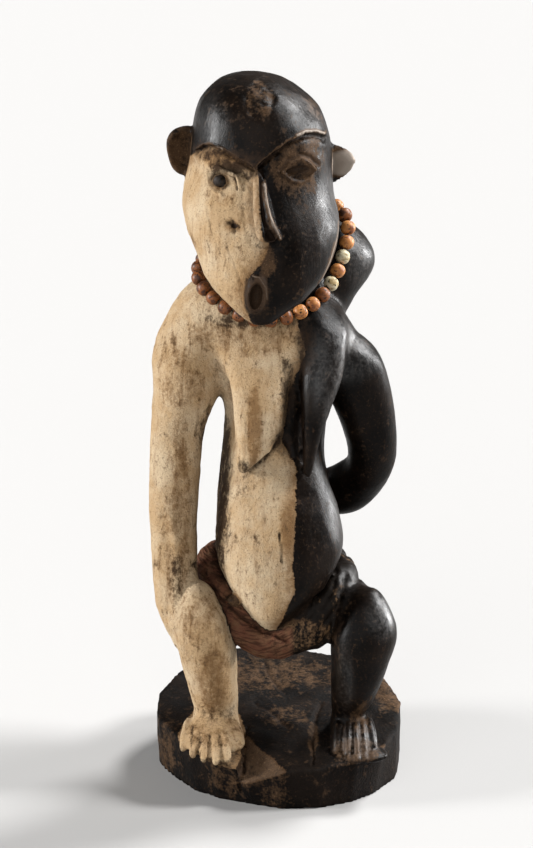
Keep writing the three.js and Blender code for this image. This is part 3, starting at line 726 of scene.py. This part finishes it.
skin = {
    "cell": 3.0,  # spacing of the lattice
    "margin": 6,
    "block": 3, "nearby": 0.87,  # cells in a block, one point of which is looked at first; half its diagonal
    "leastSlope": 0.2, "longestMove": 1.2,  # keep a point from jumping as it settles
    "cutSize": (15, 15, 27), "cutDepth": 0.9,  # facets left by the adze, longer along the grain
    "waves": [(34, 0.7), (13, 0.25)],  # unevenness of hand work: size and height
    "baseCutSize": (22, 22, 30), "baseCutDepth": 1.8,
    "groundWaves": [(14, 1.3), (6, 0.7)],
    "crust": [(6, 0.25), (3.2, 0.22)],  # the dried kaolin wash
    "flatUnder": 1.2,  # what is lower than this is pressed flat on the ground
    "groundUnder": 58, "groundNear": 0.8,  # the base's top and side: lower than this, this near its field
    "upright": 0.75,  # how far a normal on the base leans up before it is on the top
    "front": -20,  # lines and patches seen from the front are cut where y is less than this
    "facing": (0.05, 0.3),  # how squarely a place faces the front before the knife's lines reach it
    "lineWaver": (0.5, 4), "crackWaver": (1.2, 5),  # how far lines and cracks waver, and over what length
    "crackLow": 8,  # height down to which the cracks run
    "clothBack": 10,  # the loincloth is carved finer in front of this
    "crown": {
        "at": (-13.5, 528), "halves": (11, 13), "low": 505, "depth": 0.6, "waves": [(5, 0.8), (2.5, 0.5)],
    },
    "hollowReach": (7, 3.5),  # how far out the field is read to tell hollows from swellings
    "close": [  # boxes where the carving is finer than the lattice: low corner, high corner
        ((-62, -130, 372), (40, -30, 512)), ((-90, -30, 460), (62, 2, 505)),  # face and ears
        ((-45, -70, 505), (12, 10, 560)), ((-46, -70, 246), (46, -36, 290)),  # crown, nipples
        ((-84, -130, 30), (-28, -52, 58)), ((36, -130, 30), (84, -50, 58)),  # toes
        ((-34, -102, 8), (8, -50, 48)),  # front chip
    ],
    "closer": [
        ((-52, -130, 463), (-32, -50, 486)), ((-28, -130, 380), (-5, -96, 414)),  # right eye, mouth
        ((-26, -110, 8), (-22, -30, 50)), ((-10, -70, 184), (8, -50, 210)),  # cracks of the base and belly
    ],
    "face": ((-62, -130, 372), (40, -34, 512)),
}


def slope(p, step=0.25):
    # value and gradient of the block's field, from four points round each one
    corners = np.array([(1, -1, -1), (-1, -1, 1), (-1, 1, -1), (1, 1, 1)], float)
    values = [clay(p + corner * step) for corner in corners]
    gradient = sum(corner * value[:, None] for corner, value in zip(corners, values)) / (4 * step)
    return sum(values) / 4, gradient


def settle(p, rounds):
    # points moved along the gradient until they lie on the surface
    for _ in range(rounds):
        value, gradient = slope(p)
        size = np.maximum((gradient**2).sum(axis=1), skin["leastSlope"] ** 2)
        move = gradient * (value / size)[:, None]
        length = np.linalg.norm(move, axis=1, keepdims=True)
        p = p - move * np.minimum(1, skin["longestMove"] / np.maximum(length, 1e-9))
    return p


def skinMesh():
    # surface nets: a vertex in each lattice cell that the surface crosses, a face round each crossed edge
    cell, block = skin["cell"], skin["block"]
    low = cadBox[0] / mm - skin["margin"]
    count = np.ceil((cadBox[1] / mm + skin["margin"] - low) / (cell * block)).astype(int)
    coarse = np.stack(np.meshgrid(*[np.arange(n) for n in count], indexing="ij"), axis=-1).reshape(-1, 3)
    fine = clay(low + (coarse + 0.5) * cell * block).reshape(count)
    for axis in range(3):
        fine = np.repeat(fine, block, axis=axis)
    near = np.argwhere(np.abs(fine) < cell * (block + 1) * skin["nearby"])
    fine[tuple(near.T)] = clay(low + near * cell + 0.5 * cell)
    inside = fine < 0
    shape = np.array(inside.shape) - 1
    corners = list(itertools.product((0, 1), repeat=3))
    part = [inside[a : a + shape[0], b : b + shape[1], c : c + shape[2]] for a, b, c in corners]
    cells = np.argwhere(np.logical_or.reduce(part) & ~np.logical_and.reduce(part))
    number = np.full(shape, -1)
    number[tuple(cells.T)] = np.arange(len(cells))
    total, hits = np.zeros((len(cells), 3)), np.zeros(len(cells))
    for a, b in itertools.combinations(corners, 2):
        if sum(np.abs(np.subtract(a, b))) != 1:
            continue
        here, there = fine[tuple((cells + a).T)], fine[tuple((cells + b).T)]
        hit = (here < 0) != (there < 0)
        share = np.where(hit, here / np.where(hit, here - there, 1), 0)[:, None]
        total += np.where(hit[:, None], a + share * np.subtract(b, a), 0)
        hits += hit
    points = low + (cells + 0.5 + total / hits[:, None]) * cell
    faces = []
    unit = np.eye(3, dtype=int)
    for axis in range(3):
        u, v = unit[(axis + 1) % 3], unit[(axis + 2) % 3]
        start = 1 - unit[axis]
        here = inside[tuple(slice(a, n) for a, n in zip(start, shape))]
        there = inside[tuple(slice(1, n + k) for n, k in zip(shape, unit[axis]))]
        for crossed, order in ((here & ~there, 1), (~here & there, -1)):
            at = np.argwhere(crossed) + start
            ring = [at - u - v, at - v, at, at - u][::order]
            faces.append(np.stack([number[tuple(r.T)] for r in ring], axis=1))
    return points, np.vstack(faces)


def readPoints(mesh):
    # the mesh's points in millimetres, one row each
    flat = np.empty(len(mesh.vertices) * 3)
    mesh.vertices.foreach_get("co", flat)
    return flat.reshape(-1, 3) / mm


def refine(mesh, zone):
    # each face whose middle is in the zone becomes four, and its neighbours take up the new points between
    work = bmesh.new()
    work.from_mesh(mesh)
    middles = np.array([face.calc_center_median() for face in work.faces]) / mm
    edges = {edge for face, chosen in zip(work.faces, zone(middles)) if chosen for edge in face.edges}
    bmesh.ops.subdivide_edges(work, edges=list(edges), cuts=1, use_grid_fill=True)
    work.to_mesh(mesh)
    work.free()
    mesh.update()


def within(p, low, high):
    # which points lie in the box between two corners
    return ((p > low) & (p < high)).all(axis=1)


def onRoll(p, reach):
    # points on the loincloth: near its own surface and not buried by the belly or a thigh
    near = within(p, *loincloth["box"])
    near[near] = np.abs(spineField(p[near], loincloth)) < reach
    return near


def nearLines(p, lines, plane, reach):
    # which points lie within reach line widths of a line, seen square to the plane
    near = [toPolyline(p[:, plane], points) < reach * width for points, width, _ in lines]
    return np.logical_or.reduce(near)


def closeZone(p):
    # the boxes of finer carving, the loincloth but for its back, and the cracks of the base
    _, y, z = p.T
    zone = np.logical_or.reduce([within(p, *box) for box in skin["close"]])
    zone |= onRoll(p, reach=1.5) & (y < skin["clothBack"])
    low, high = skin["crackLow"] / 2, skin["groundUnder"]
    return zone | (z < high) & (z > low) & nearLines(p, groundLines, (0, 1), reach=4)


def closerZone(p):
    # the lines of the face, and the smallest boxes, once more
    zone = within(p, *skin["face"]) & nearLines(p, faceLines, (0, 2), reach=2.6)
    return zone | np.logical_or.reduce([within(p, *box) for box in skin["closer"]])


def insideOutline(across, points):
    # distance in plan from a closed outline, above zero inside it, where a ray to +x crosses it an odd number
    # of times
    points = np.array(points, float)
    ends = np.roll(points, -1, axis=0)
    x, y = across.T
    odd = np.zeros(len(across), bool)
    for (ax, ay), (bx, by) in zip(points, ends):
        crosses = (ay > y) != (by > y)
        odd ^= crosses & (x < ax + (y - ay) / (by - ay + 1e-9) * (bx - ax))
    return toPolyline(across, [*points, points[0]]) * np.where(odd, 1, -1)


def whiteness(p):
    # how far inside the white half a point lies, in millimetres, below zero on the black half
    x, y, z = p.T
    seam = readOff(paint["seam"], z)
    white = seam + (paint["backSeam"] - seam) * ease(y, *paint["seamTurn"]) - x
    face = np.minimum(readOff(paint["faceSeam"], z) - x, readOff(head["brow"], x) - paint["belowBrow"] - z)
    face = np.minimum(face, paint["hairline"] - y - paint["hairlineLean"] * (z - paint["hairlineHeight"]))
    onHead = (z > paint["nape"]) | (headField(p) < 1) & (z > paint["chin"])
    white = np.where(onHead, face, white)
    onBase = (z < skin["groundUnder"] + 2) & (baseField(p) < 2)
    top = base["height"] + base["slope"] * y
    patch = np.minimum(insideOutline(p[:, :2], paint["foot"]), z - top + paint["footDepth"])
    white = np.where(onBase, patch, white)
    for at, halves in np.reshape(paint["dark"], (-1, 2, 3)):
        near = (np.abs(p - at) < halves + 3).all(axis=1)
        white[near] = np.minimum(white[near], 3 * ballField(p[near], at, halves))
    return white


def zoneAmount(p, zones):
    # the amount of the strongest zone at each point, fading out round each
    amount = np.zeros(len(p))
    for zone in np.array(zones, float):
        at, halves, most = zone[:3], zone[3:6], zone[6]
        near = (np.abs(p - at) < halves * 1.3).all(axis=1)
        ratio = np.linalg.norm((p[near] - at) / halves, axis=1)
        amount[near] = np.maximum(amount[near], most * ease(ratio, 1.25, 0.55))
    return amount


def toolMarks(p, ground, lean):
    # how far the tools' marks push each point out: facets of the adze and unevenness, apart for the base's
    # side and its top
    push = -skin["cutDepth"] * (0.4 - np.minimum(cuts(p, skin["cutSize"], 3), 0.9)) * ~ground
    push += uneven(p, skin["waves"], 20)
    side, top = ground & (np.abs(lean) < skin["upright"]), ground & (lean > skin["upright"])
    push += side * -skin["baseCutDepth"] * (0.4 - np.minimum(cuts(p, skin["baseCutSize"], 9), 0.9))
    return push + top * uneven(p, skin["groundWaves"], 30)


def wavering(p, plane, most, size, seed):
    # the points seen square to the plane, moved about by noise so that lines waver
    return p[:, plane] + most * np.stack([noise(p, size, seed), noise(p, size, seed + 1)], axis=1)


def lineMark(across, points, width):
    # 1 on the line, falling as a bell curve of that half width
    return np.exp(-((toPolyline(across, points) / width) ** 2))


def clothWork(p):
    # the rolled cloth: how far it is cloth and red, its strokes, which wind round it, and its push, where
    # it is red a slight fold, and lumps at its black end
    rolled = onRoll(p, reach=0.6)
    q = p[rolled]
    place, _, sideways, depthways = spinePlace(q, loincloth)
    turn = np.arctan2(depthways, sideways) / (2 * np.pi)
    drift = 0.8 * noise(q, 16, 60) + 0.3 * noise(q, 6, 62)
    red = ease(q[:, 0], *loincloth["red"])
    roll, strand, along, push = np.zeros((4, len(p)))
    roll[rolled] = 0.3 + 0.7 * red
    strand[rolled] = loincloth["strokes"] * turn + loincloth["twist"] * place + drift
    along[rolled] = loincloth["breaks"] * place
    push[rolled] = (1 - red) * uneven(q, loincloth["lumps"], 63) + red * uneven(q, loincloth["folds"], 61)
    return roll, strand, along, push


def carve(mesh):
    # marks of tools, cracks and breaks, pushed along each point's own normal; then the finish's attributes
    p = readPoints(mesh)
    _, gradient = slope(p)
    normal = gradient / np.linalg.norm(gradient, axis=1, keepdims=True)
    _, y, z = p.T
    ground = (z < skin["groundUnder"]) & (np.abs(baseField(p)) < skin["groundNear"])
    push = toolMarks(p, ground, normal[:, 2])
    dirtAndShade, wearAndHighlights, handled = (zoneAmount(p, paint[name]) for name in ("dirtAndShade", "wearAndHighlights", "handled"))
    for bare, *plane in base["chips"]:
        plane = plane[:3]
        margin = base["chipMargin"]
        broken = ground & within(p, np.min(plane, axis=0) - margin, np.max(plane, axis=0) + margin)
        bared = bare * ease(np.abs(planeDistance(p[broken], *plane)), *base["chipFade"])
        wearAndHighlights[broken] = np.maximum(wearAndHighlights[broken], bared)
    front = ease(-normal[:, 1], *skin["facing"]) * (y < skin["front"])
    for low, high, lines in knifeWork:
        near = np.flatnonzero((z > low) & (z < high) & (front > 0))
        across = wavering(p[near], (0, 2), *skin["lineWaver"], 43)
        for points, width, depth in lines:
            mark = front[near] * lineMark(across, points, width)
            push[near] -= depth * mark
            # a groove is painted darker: dirt and painted shade
            if depth > 0:
                dirtAndShade[near] = np.maximum(dirtAndShade[near], np.minimum(depth / 1.6, 1) * mark)
    # edges painted lighter: painted highlights along the brows, nose and lip, and worn light along the jaw
    near = (z > knifeWork[0][0]) & (z < knifeWork[0][1]) & (y < skin["front"])
    for points, width, most in paint["wearAndHighlightLines"]:
        wearAndHighlights[near] = np.maximum(wearAndHighlights[near], most * lineMark(p[near][:, (0, 2)], points, width))
    across = wavering(p, (0, 1), *skin["crackWaver"], 41)
    for points, width, depth in groundLines:
        mark = (ground & (z > skin["crackLow"])) * lineMark(across, points, width)
        push -= depth * mark
        # the cracks are painted dark: dirt and painted shade
        dirtAndShade = np.maximum(dirtAndShade, mark)
    patch = skin["crown"]
    off = np.linalg.norm((p[:, (0, 2)] - patch["at"]) / patch["halves"], axis=1) + 0.4 * noise(p, 9, 50)
    crown = ease(off, 1, 0.6) * (y < skin["front"]) * (z > patch["low"])
    push -= crown * (patch["depth"] + uneven(p, patch["waves"], 51))
    roll, strand, along, clothPush = clothWork(p)
    white = whiteness(p)
    push += clothPush + ease(white, -1, 2) * uneven(p, skin["crust"], 70)
    moved = p + normal * push[:, None]
    moved[z < skin["flatUnder"], 2] = 0
    around = np.vstack([np.eye(3), -np.eye(3)])
    hollow = -sum(clay(p + step * reach) for step in around for reach in skin["hollowReach"]) / 8
    mesh.vertices.foreach_set("co", (moved * mm).ravel())
    marks = {
        "whitened": white, "hollow": hollow, "wearAndHighlights": np.maximum(wearAndHighlights, 0.55 * crown), "dirtAndShade": dirtAndShade,
        "roll": roll, "strand": strand, "along": along, "ground": ground.astype(float), "handled": handled,
    }
    for name, values in marks.items():
        layer = mesh.attributes.new(name, "FLOAT", "POINT")
        layer.data.foreach_set("value", values.astype(np.float32))
    mesh.update()


# Finish of the block

finish = {
    # the dark dirt colour also paints shade, and the pale dust colour also paints sheen and highlights
    "kaolin": "B29E82", "kaolinWarm": "997A53", "kaolinRubbed": "6B4E31", "kaolinPits": "423222",
    "soot": "060403", "sootBrown": "160F0A", "sootDust": "4A3726", "rawWood": "654E38", "darkDirtAndShade": "2B2018",
    "redEarth": "5B3A2B", "redDark": "23130C", "blackCloth": "140F0B", "paleDustAndSheen": "8C8278",
}


def mixed(tree, colour, layers):
    # colour with each layer laid over it: how much of it there is, its share, its shade
    for amount, share, shade in layers:
        factor = addNode(tree, "Math", (amount, share), operation="MULTIPLY", use_clamp=True)
        over = shade if isinstance(shade, bpy.types.NodeSocket) else linear(finish[shade])
        colour = addNode(tree, "Mix", {0: factor, 6: colour, 7: over}, data_type="RGBA").outputs[2]
    return colour


def woodMaterial():
    # hardwood, hand carved: one half washed with kaolin, matt and grainy, the other blackened with soot and
    # oil and rubbed to a soft shine that catches the light on every facet; painted shade darkens its hollows,
    # grooves and some overhung places, and painted highlights lighten some edges
    made, tree = newMaterial("kaolin_and_soot_on_hardwood")
    add = functools.partial(addNode, tree)
    mark = {
        name: add("Attribute", attribute_name=name).outputs["Fac"]
        for name in ("whitened", "hollow", "wearAndHighlights", "dirtAndShade", "roll", "strand", "along", "ground", "handled")
    }
    place = add("TexCoord").outputs["Object"]
    grain = add("Mapping", {"Vector": place, "Scale": (1, 1, 0.16)})
    patches, blotches, streaks, fine, specks = (
        add("TexNoise", {"Vector": where, "Scale": 1 / (size * mm), "Detail": detail, "Roughness": 0.66})
        for where, size, detail in [
            (place, 34, 6), (place, 9, 6), (grain, 5, 6), (place, 2.4, 4), (place, 1.1, 3),
        ]
    )
    crumbs, fibres = add("Math", (fine, blotches)), add("Math", (fine, streaks))
    # worn, dirty, painted shade and painted highlights where the tables say, broken up by blotches and the
    # grain
    ragged = add("MapRange", (blotches, 0.3, 0.7, -0.5, 0.5))
    for height, most in ((streaks, 0.35), (fine, 0.3)):
        ragged = add("Math", (ragged, add("MapRange", (height, 0.3, 0.7, -most, most))))
    edge = add("Math", (mark["whitened"], add("MapRange", (crumbs, 0.7, 1.3, -1.3, 1.3))))
    white = add("MapRange", (edge, -0.3, 0.5))
    # the wash thins out towards its edge
    thin = add("MapRange", (add("Math", (edge, add("MapRange", (ragged, -1, 1, -7, 7)))), 10, 0))
    raggedWearAndHighlights, earthAndShade = (add("Math", (mark[name], ragged)) for name in ("wearAndHighlights", "dirtAndShade"))
    wearAndHighlights, soiledAndShaded = add("MapRange", (raggedWearAndHighlights, 0.32, 1.0)), add("MapRange", (earthAndShade, 0.25, 1.0))
    # darker in hollows: dirt and painted shade
    deep = add("Math", (mark["hollow"], add("MapRange", (fine, 0.3, 0.7, -0.8, 0.8))))
    grimeAndShade = add("MapRange", (deep, 0.3, 3.2))
    pits = add("MapRange", (specks, 0.56, 0.68))
    warm = add("MapRange", (patches, 0.42, 0.60))
    drawn = add("CombineXYZ", {"X": mark["strand"], "Y": mark["along"]})
    strokes = add("TexNoise", {"Vector": drawn, "Scale": 1.1, "Detail": 2})

    # on the kaolin the dark dirt layers also paint shade in hollows, grooves and under overhangs
    chalk = mixed(tree, linear(finish["kaolin"]), [
        (warm, 0.6, "kaolinWarm"), (mark["wearAndHighlights"], 0.5, "kaolinWarm"),
        (add("MapRange", (streaks, 0.50, 0.66)), 0.4, "kaolinRubbed"), (wearAndHighlights, 0.75, "kaolinRubbed"),
        (thin, 0.8, "kaolinRubbed"), (pits, 0.6, "kaolinPits"), (soiledAndShaded, 0.9, "darkDirtAndShade"),
        (grimeAndShade, 0.85, "darkDirtAndShade"),
    ])
    # on the soot the rubbed and pale dust layers also paint highlights along edges and a sheen in the left
    # ear, and the dark dirt layer also paints shade
    oiled = mixed(tree, linear(finish["soot"]), [
        (warm, 0.7, "sootBrown"), (add("MapRange", (fine, 0.55, 0.7)), 0.18, "sootDust"),
        (wearAndHighlights, 0.75, "sootDust"), (add("Math", (wearAndHighlights, pits), operation="MULTIPLY"), 0.9, "rawWood"),
        (add("MapRange", (mark["wearAndHighlights"], 1.1, 1.6)), 0.9, "paleDustAndSheen"), (soiledAndShaded, 0.7, "darkDirtAndShade"),
    ])
    # on the red cloth the dark layers also paint shade in its hollows
    red = mixed(tree, linear(finish["redEarth"]), [
        (add("MapRange", (blotches, 0.42, 0.62)), 0.5, "rawWood"),
        (add("MapRange", (strokes, 0.52, 0.40)), 0.6, "redDark"), (soiledAndShaded, 0.8, "redDark"),
        (grimeAndShade, 0.8, "soot"),
    ])
    crust = add("Math", (wearAndHighlights, add("MapRange", (fibres, 0.9, 1.15))), operation="MULTIPLY")
    ends = mixed(tree, linear(finish["blackCloth"]), [
        (add("MapRange", (blotches, 0.45, 0.65)), 0.7, "soot"), (crust, 0.9, "rawWood"),
    ])
    reddened = add("MapRange", (mark["roll"], 0.45, 0.85))
    cloth = mixed(tree, ends, [(reddened, 1, red)])
    colour = mixed(tree, oiled, [(white, 1, chalk), (add("MapRange", (mark["roll"], 0.05, 0.2)), 1, cloth)])

    # the oiled half shines where it is handled, and is dull where dirt, wear, painted shade and painted
    # highlights lie; kaolin is dead matt
    dulled = add("Math", (wearAndHighlights, soiledAndShaded), operation="MAXIMUM")
    dulled = add("Math", (dulled, add("MapRange", (crumbs, 0.8, 1.3, 0, 0.8))))
    shine = add("MapRange", (dulled, 0, 1.4, 0.3, 0.7))
    shine = add("Math", (shine, add("MapRange", (mark["ground"], 0, 1, 0, 0.7))), operation="MAXIMUM")
    rough = add("Mix", {0: white, 2: shine, 3: 0.92}, data_type="FLOAT")
    rough = add("Mix", {0: mark["roll"], 2: rough, 3: 0.8}, data_type="FLOAT")
    polish = add("MapRange", (fibres, 0.8, 1.12, 0.35, 1))
    polish = add("Math", (mark["handled"], polish), operation="MULTIPLY")
    # relief: grain on the wood, crust on the kaolin and the base, pits all over, strokes on the cloth
    crusty = add("Math", (white, add("MapRange", (mark["ground"], 0, 1, 0, 0.8))), operation="MAXIMUM")
    coarse = add("Mix", {0: crusty, 2: streaks, 3: crumbs}, data_type="FLOAT")
    relief = {}
    for height, strength, depth in (
        (coarse, add("MapRange", (crusty, 0, 1, 0.3, 1)), 1.2),
        (specks, add("MapRange", (crusty, 0, 1, 0.25, 0.6)), 0.5),
        (strokes, reddened, 2),
    ):
        inputs = {**relief, "Height": height, "Strength": strength, "Distance": depth * mm}
        relief["Normal"] = add("Bump", inputs)
    gloss = add("MapRange", (polish, 0, 1, 1.16, 1.5))
    add("OutputMaterial", [
        add("BsdfPrincipled", {"Base Color": colour, "Roughness": rough, "IOR": gloss, **relief}),
    ])
    return made


def makeFigure():
    # the block's surface on the lattice, made finer twice where the carving is, and settled after each
    points, faces = skinMesh()
    figure = meshObject("carved_figure", settle(points, 3), faces, woodMaterial())
    mesh = figure.data
    for zone in (closeZone, closerZone):
        refine(mesh, zone)
        mesh.vertices.foreach_set("co", (settle(readPoints(mesh), 1) * mm).ravel())
    carve(mesh)
    mesh.polygons.foreach_set("use_smooth", np.ones(len(mesh.polygons), bool))
    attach(figure, "root")
    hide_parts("figure")
    print("figure carved:", sum(len(face.vertices) - 2 for face in mesh.polygons), "triangles")


# Beads and their thread

beads = {
    "kinds": "bbttbctcttbtcbtbbtbb" + "b" * 10,  # in the nodes' order: brown, tan or cream
    "radius": 5.75, "halfLength": 5.3, "bore": 1.1,
    "uneven": 0.05, "pitting": 0.16, "around": 22, "rings": 13, "roundness": 2.3,
}
thread = {
    "radius": 0.55, "strands": 3, "turnsPerBead": 2.5, "relief": 0.16, "around": 12, "perBead": 14,
    "light": "483A29", "dark": "211913",
}
beadKinds = {  # slot, body, swirls, dark spots, roughness
    "b": ("bead_brown", "71421F", "3A1F10", "120905", 0.36),
    "t": ("bead_tan", "A8703C", "713F1F", "2B180D", 0.36),
    "c": ("bead_cream", "B9AF93", "8E7A52", "17110B", 0.40),
}


def beadMaterial(name, body, swirl, spot, rough):
    # seeds and turned nut shell, waxed by wear: cloudy colour with darker swirls and small dark spots
    made, tree = newMaterial("worn_" + name)
    add = functools.partial(addNode, tree)
    place = add("TexCoord").outputs["Object"]
    clouds = add("TexNoise", {"Vector": place, "Scale": 1 / (6 * mm), "Detail": 5, "Distortion": 1.2})
    spots = add("TexNoise", {"Vector": place, "Scale": 1 / (2.2 * mm), "Detail": 3})
    colour = linear(body)
    for height, low, high, shade in ((clouds, 0.44, 0.64, swirl), (spots, 0.60, 0.66, spot)):
        inputs = {0: add("MapRange", (height, low, high)), 6: colour, 7: linear(shade)}
        colour = add("Mix", inputs, data_type="RGBA").outputs[2]
    dull = add("MapRange", (spots, 0, 1, rough - 0.1, rough + 0.3))
    bump = add("Bump", {"Height": spots, "Strength": 0.3, "Distance": 0.3 * mm})
    inputs = {"Base Color": colour, "Roughness": dull, "Normal": bump, "IOR": 1.36}
    add("OutputMaterial", [add("BsdfPrincipled", inputs)])
    return made


def threadMaterial():
    # plant fibre thread darkened by handling: matt, fine fibres along it
    made, tree = newMaterial("fibre_thread")
    add = functools.partial(addNode, tree)
    place = add("TexCoord").outputs["Object"]
    fibres = add("TexNoise", {"Vector": place, "Scale": 1 / (0.7 * mm), "Detail": 3})
    inputs = {0: fibres, 6: linear(thread["light"]), 7: linear(thread["dark"])}
    colour = add("Mix", inputs, data_type="RGBA").outputs[2]
    bump = add("Bump", {"Height": fibres, "Strength": 0.4, "Distance": 0.2 * mm})
    add("OutputMaterial", [add("BsdfPrincipled", {"Base Color": colour, "Roughness": 0.85, "Normal": bump})])
    return made


def gridFaces(rows, columns):
    # quads of a grid of points that closes on itself both ways
    row, column = np.meshgrid(np.arange(rows), np.arange(columns), indexing="ij")
    below, beside = (row + 1) % rows * columns, (column + 1) % columns
    quads = [row * columns + column, below + column, below + beside, row * columns + beside]
    return np.stack(quads, axis=-1).reshape(-1, 4)


def squareTo(axis):
    # two directions square to an axis and to each other
    side = np.cross(axis, (0.3, 0.2, 1))
    side /= np.linalg.norm(side, axis=-1, keepdims=True)
    return side, np.cross(axis, side)


def makeBeads():
    # each bead at the middle of its CAD node, its axis along the line through its two neighbours
    names = [f"bead_{i + 1:02d}" for i in range(len(beads["kinds"]))]
    centres = np.array([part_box(name) for name in names]).mean(axis=1) / mm
    axes = np.roll(centres, -1, axis=0) - np.roll(centres, 1, axis=0)
    axes /= np.linalg.norm(axes, axis=1, keepdims=True)
    materials = {letter: beadMaterial(*kind) for letter, kind in beadKinds.items()}
    lot = np.random.default_rng(11)
    # the half section: a superellipse outside, from bore to bore, then straight back through the bore
    start = math.asin(beads["bore"] / beads["radius"])
    turn = np.linspace(start, math.pi - start, beads["rings"])
    power = 2 / beads["roundness"]
    reach = np.append(beads["radius"] * np.sin(turn) ** power, [beads["bore"]] * 2)
    share = np.sign(np.cos(turn)) * np.abs(np.cos(turn)) ** power
    height = np.append(share, [-0.5, 0.5]) * beads["halfLength"]
    around = np.arange(beads["around"]) * 2 * np.pi / beads["around"]
    faces = gridFaces(len(reach), beads["around"])
    outside = np.repeat(np.arange(len(reach)) < beads["rings"], beads["around"])
    for name, letter, centre, axis in zip(names, beads["kinds"], centres, axes):
        wide, long = 1 + beads["uneven"] * lot.uniform(-1, 0.4, 2)
        side, depth = squareTo(axis)
        outward = np.cos(around)[:, None] * side + np.sin(around)[:, None] * depth
        points = centre + wide * reach[:, None, None] * outward + long * height[:, None, None] * axis
        points = points.reshape(-1, 3)
        pits = outside * beads["pitting"] * (noise(points, 3, 5) - 0.5) / beads["radius"]
        points += pits[:, None] * (points - centre)
        bead = meshObject(name + "_turned", points, faces, materials[letter])
        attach(bead, "root")
        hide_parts(name)
    print("beads strung:", len(names))
    return centres


def makeThread(centres):
    # strands laid round each other, through all the bores: the reach swells where a strand passes
    steps = thread["perBead"] * len(centres)
    t = np.arange(steps) / steps
    path = spline(centres, t, closed=True)
    heading = np.roll(path, -1, axis=0) - np.roll(path, 1, axis=0)
    side, depth = squareTo(heading / np.linalg.norm(heading, axis=1, keepdims=True))
    around = np.arange(thread["around"]) * 2 * np.pi / thread["around"]
    lay = thread["strands"] * around + 2 * np.pi * thread["turnsPerBead"] * len(centres) * t[:, None]
    reach = thread["radius"] * (1 + thread["relief"] * np.cos(lay))[..., None]
    outward = np.cos(around)[:, None] * side[:, None] + np.sin(around)[:, None] * depth[:, None]
    points = (path[:, None] + reach * outward).reshape(-1, 3)
    string = meshObject("bead_thread", points, gridFaces(steps, thread["around"]), threadMaterial())
    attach(string, "root")
    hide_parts("bead_string")
    print("thread laid")


makeStudio()
makeFigure()
makeThread(makeBeads())
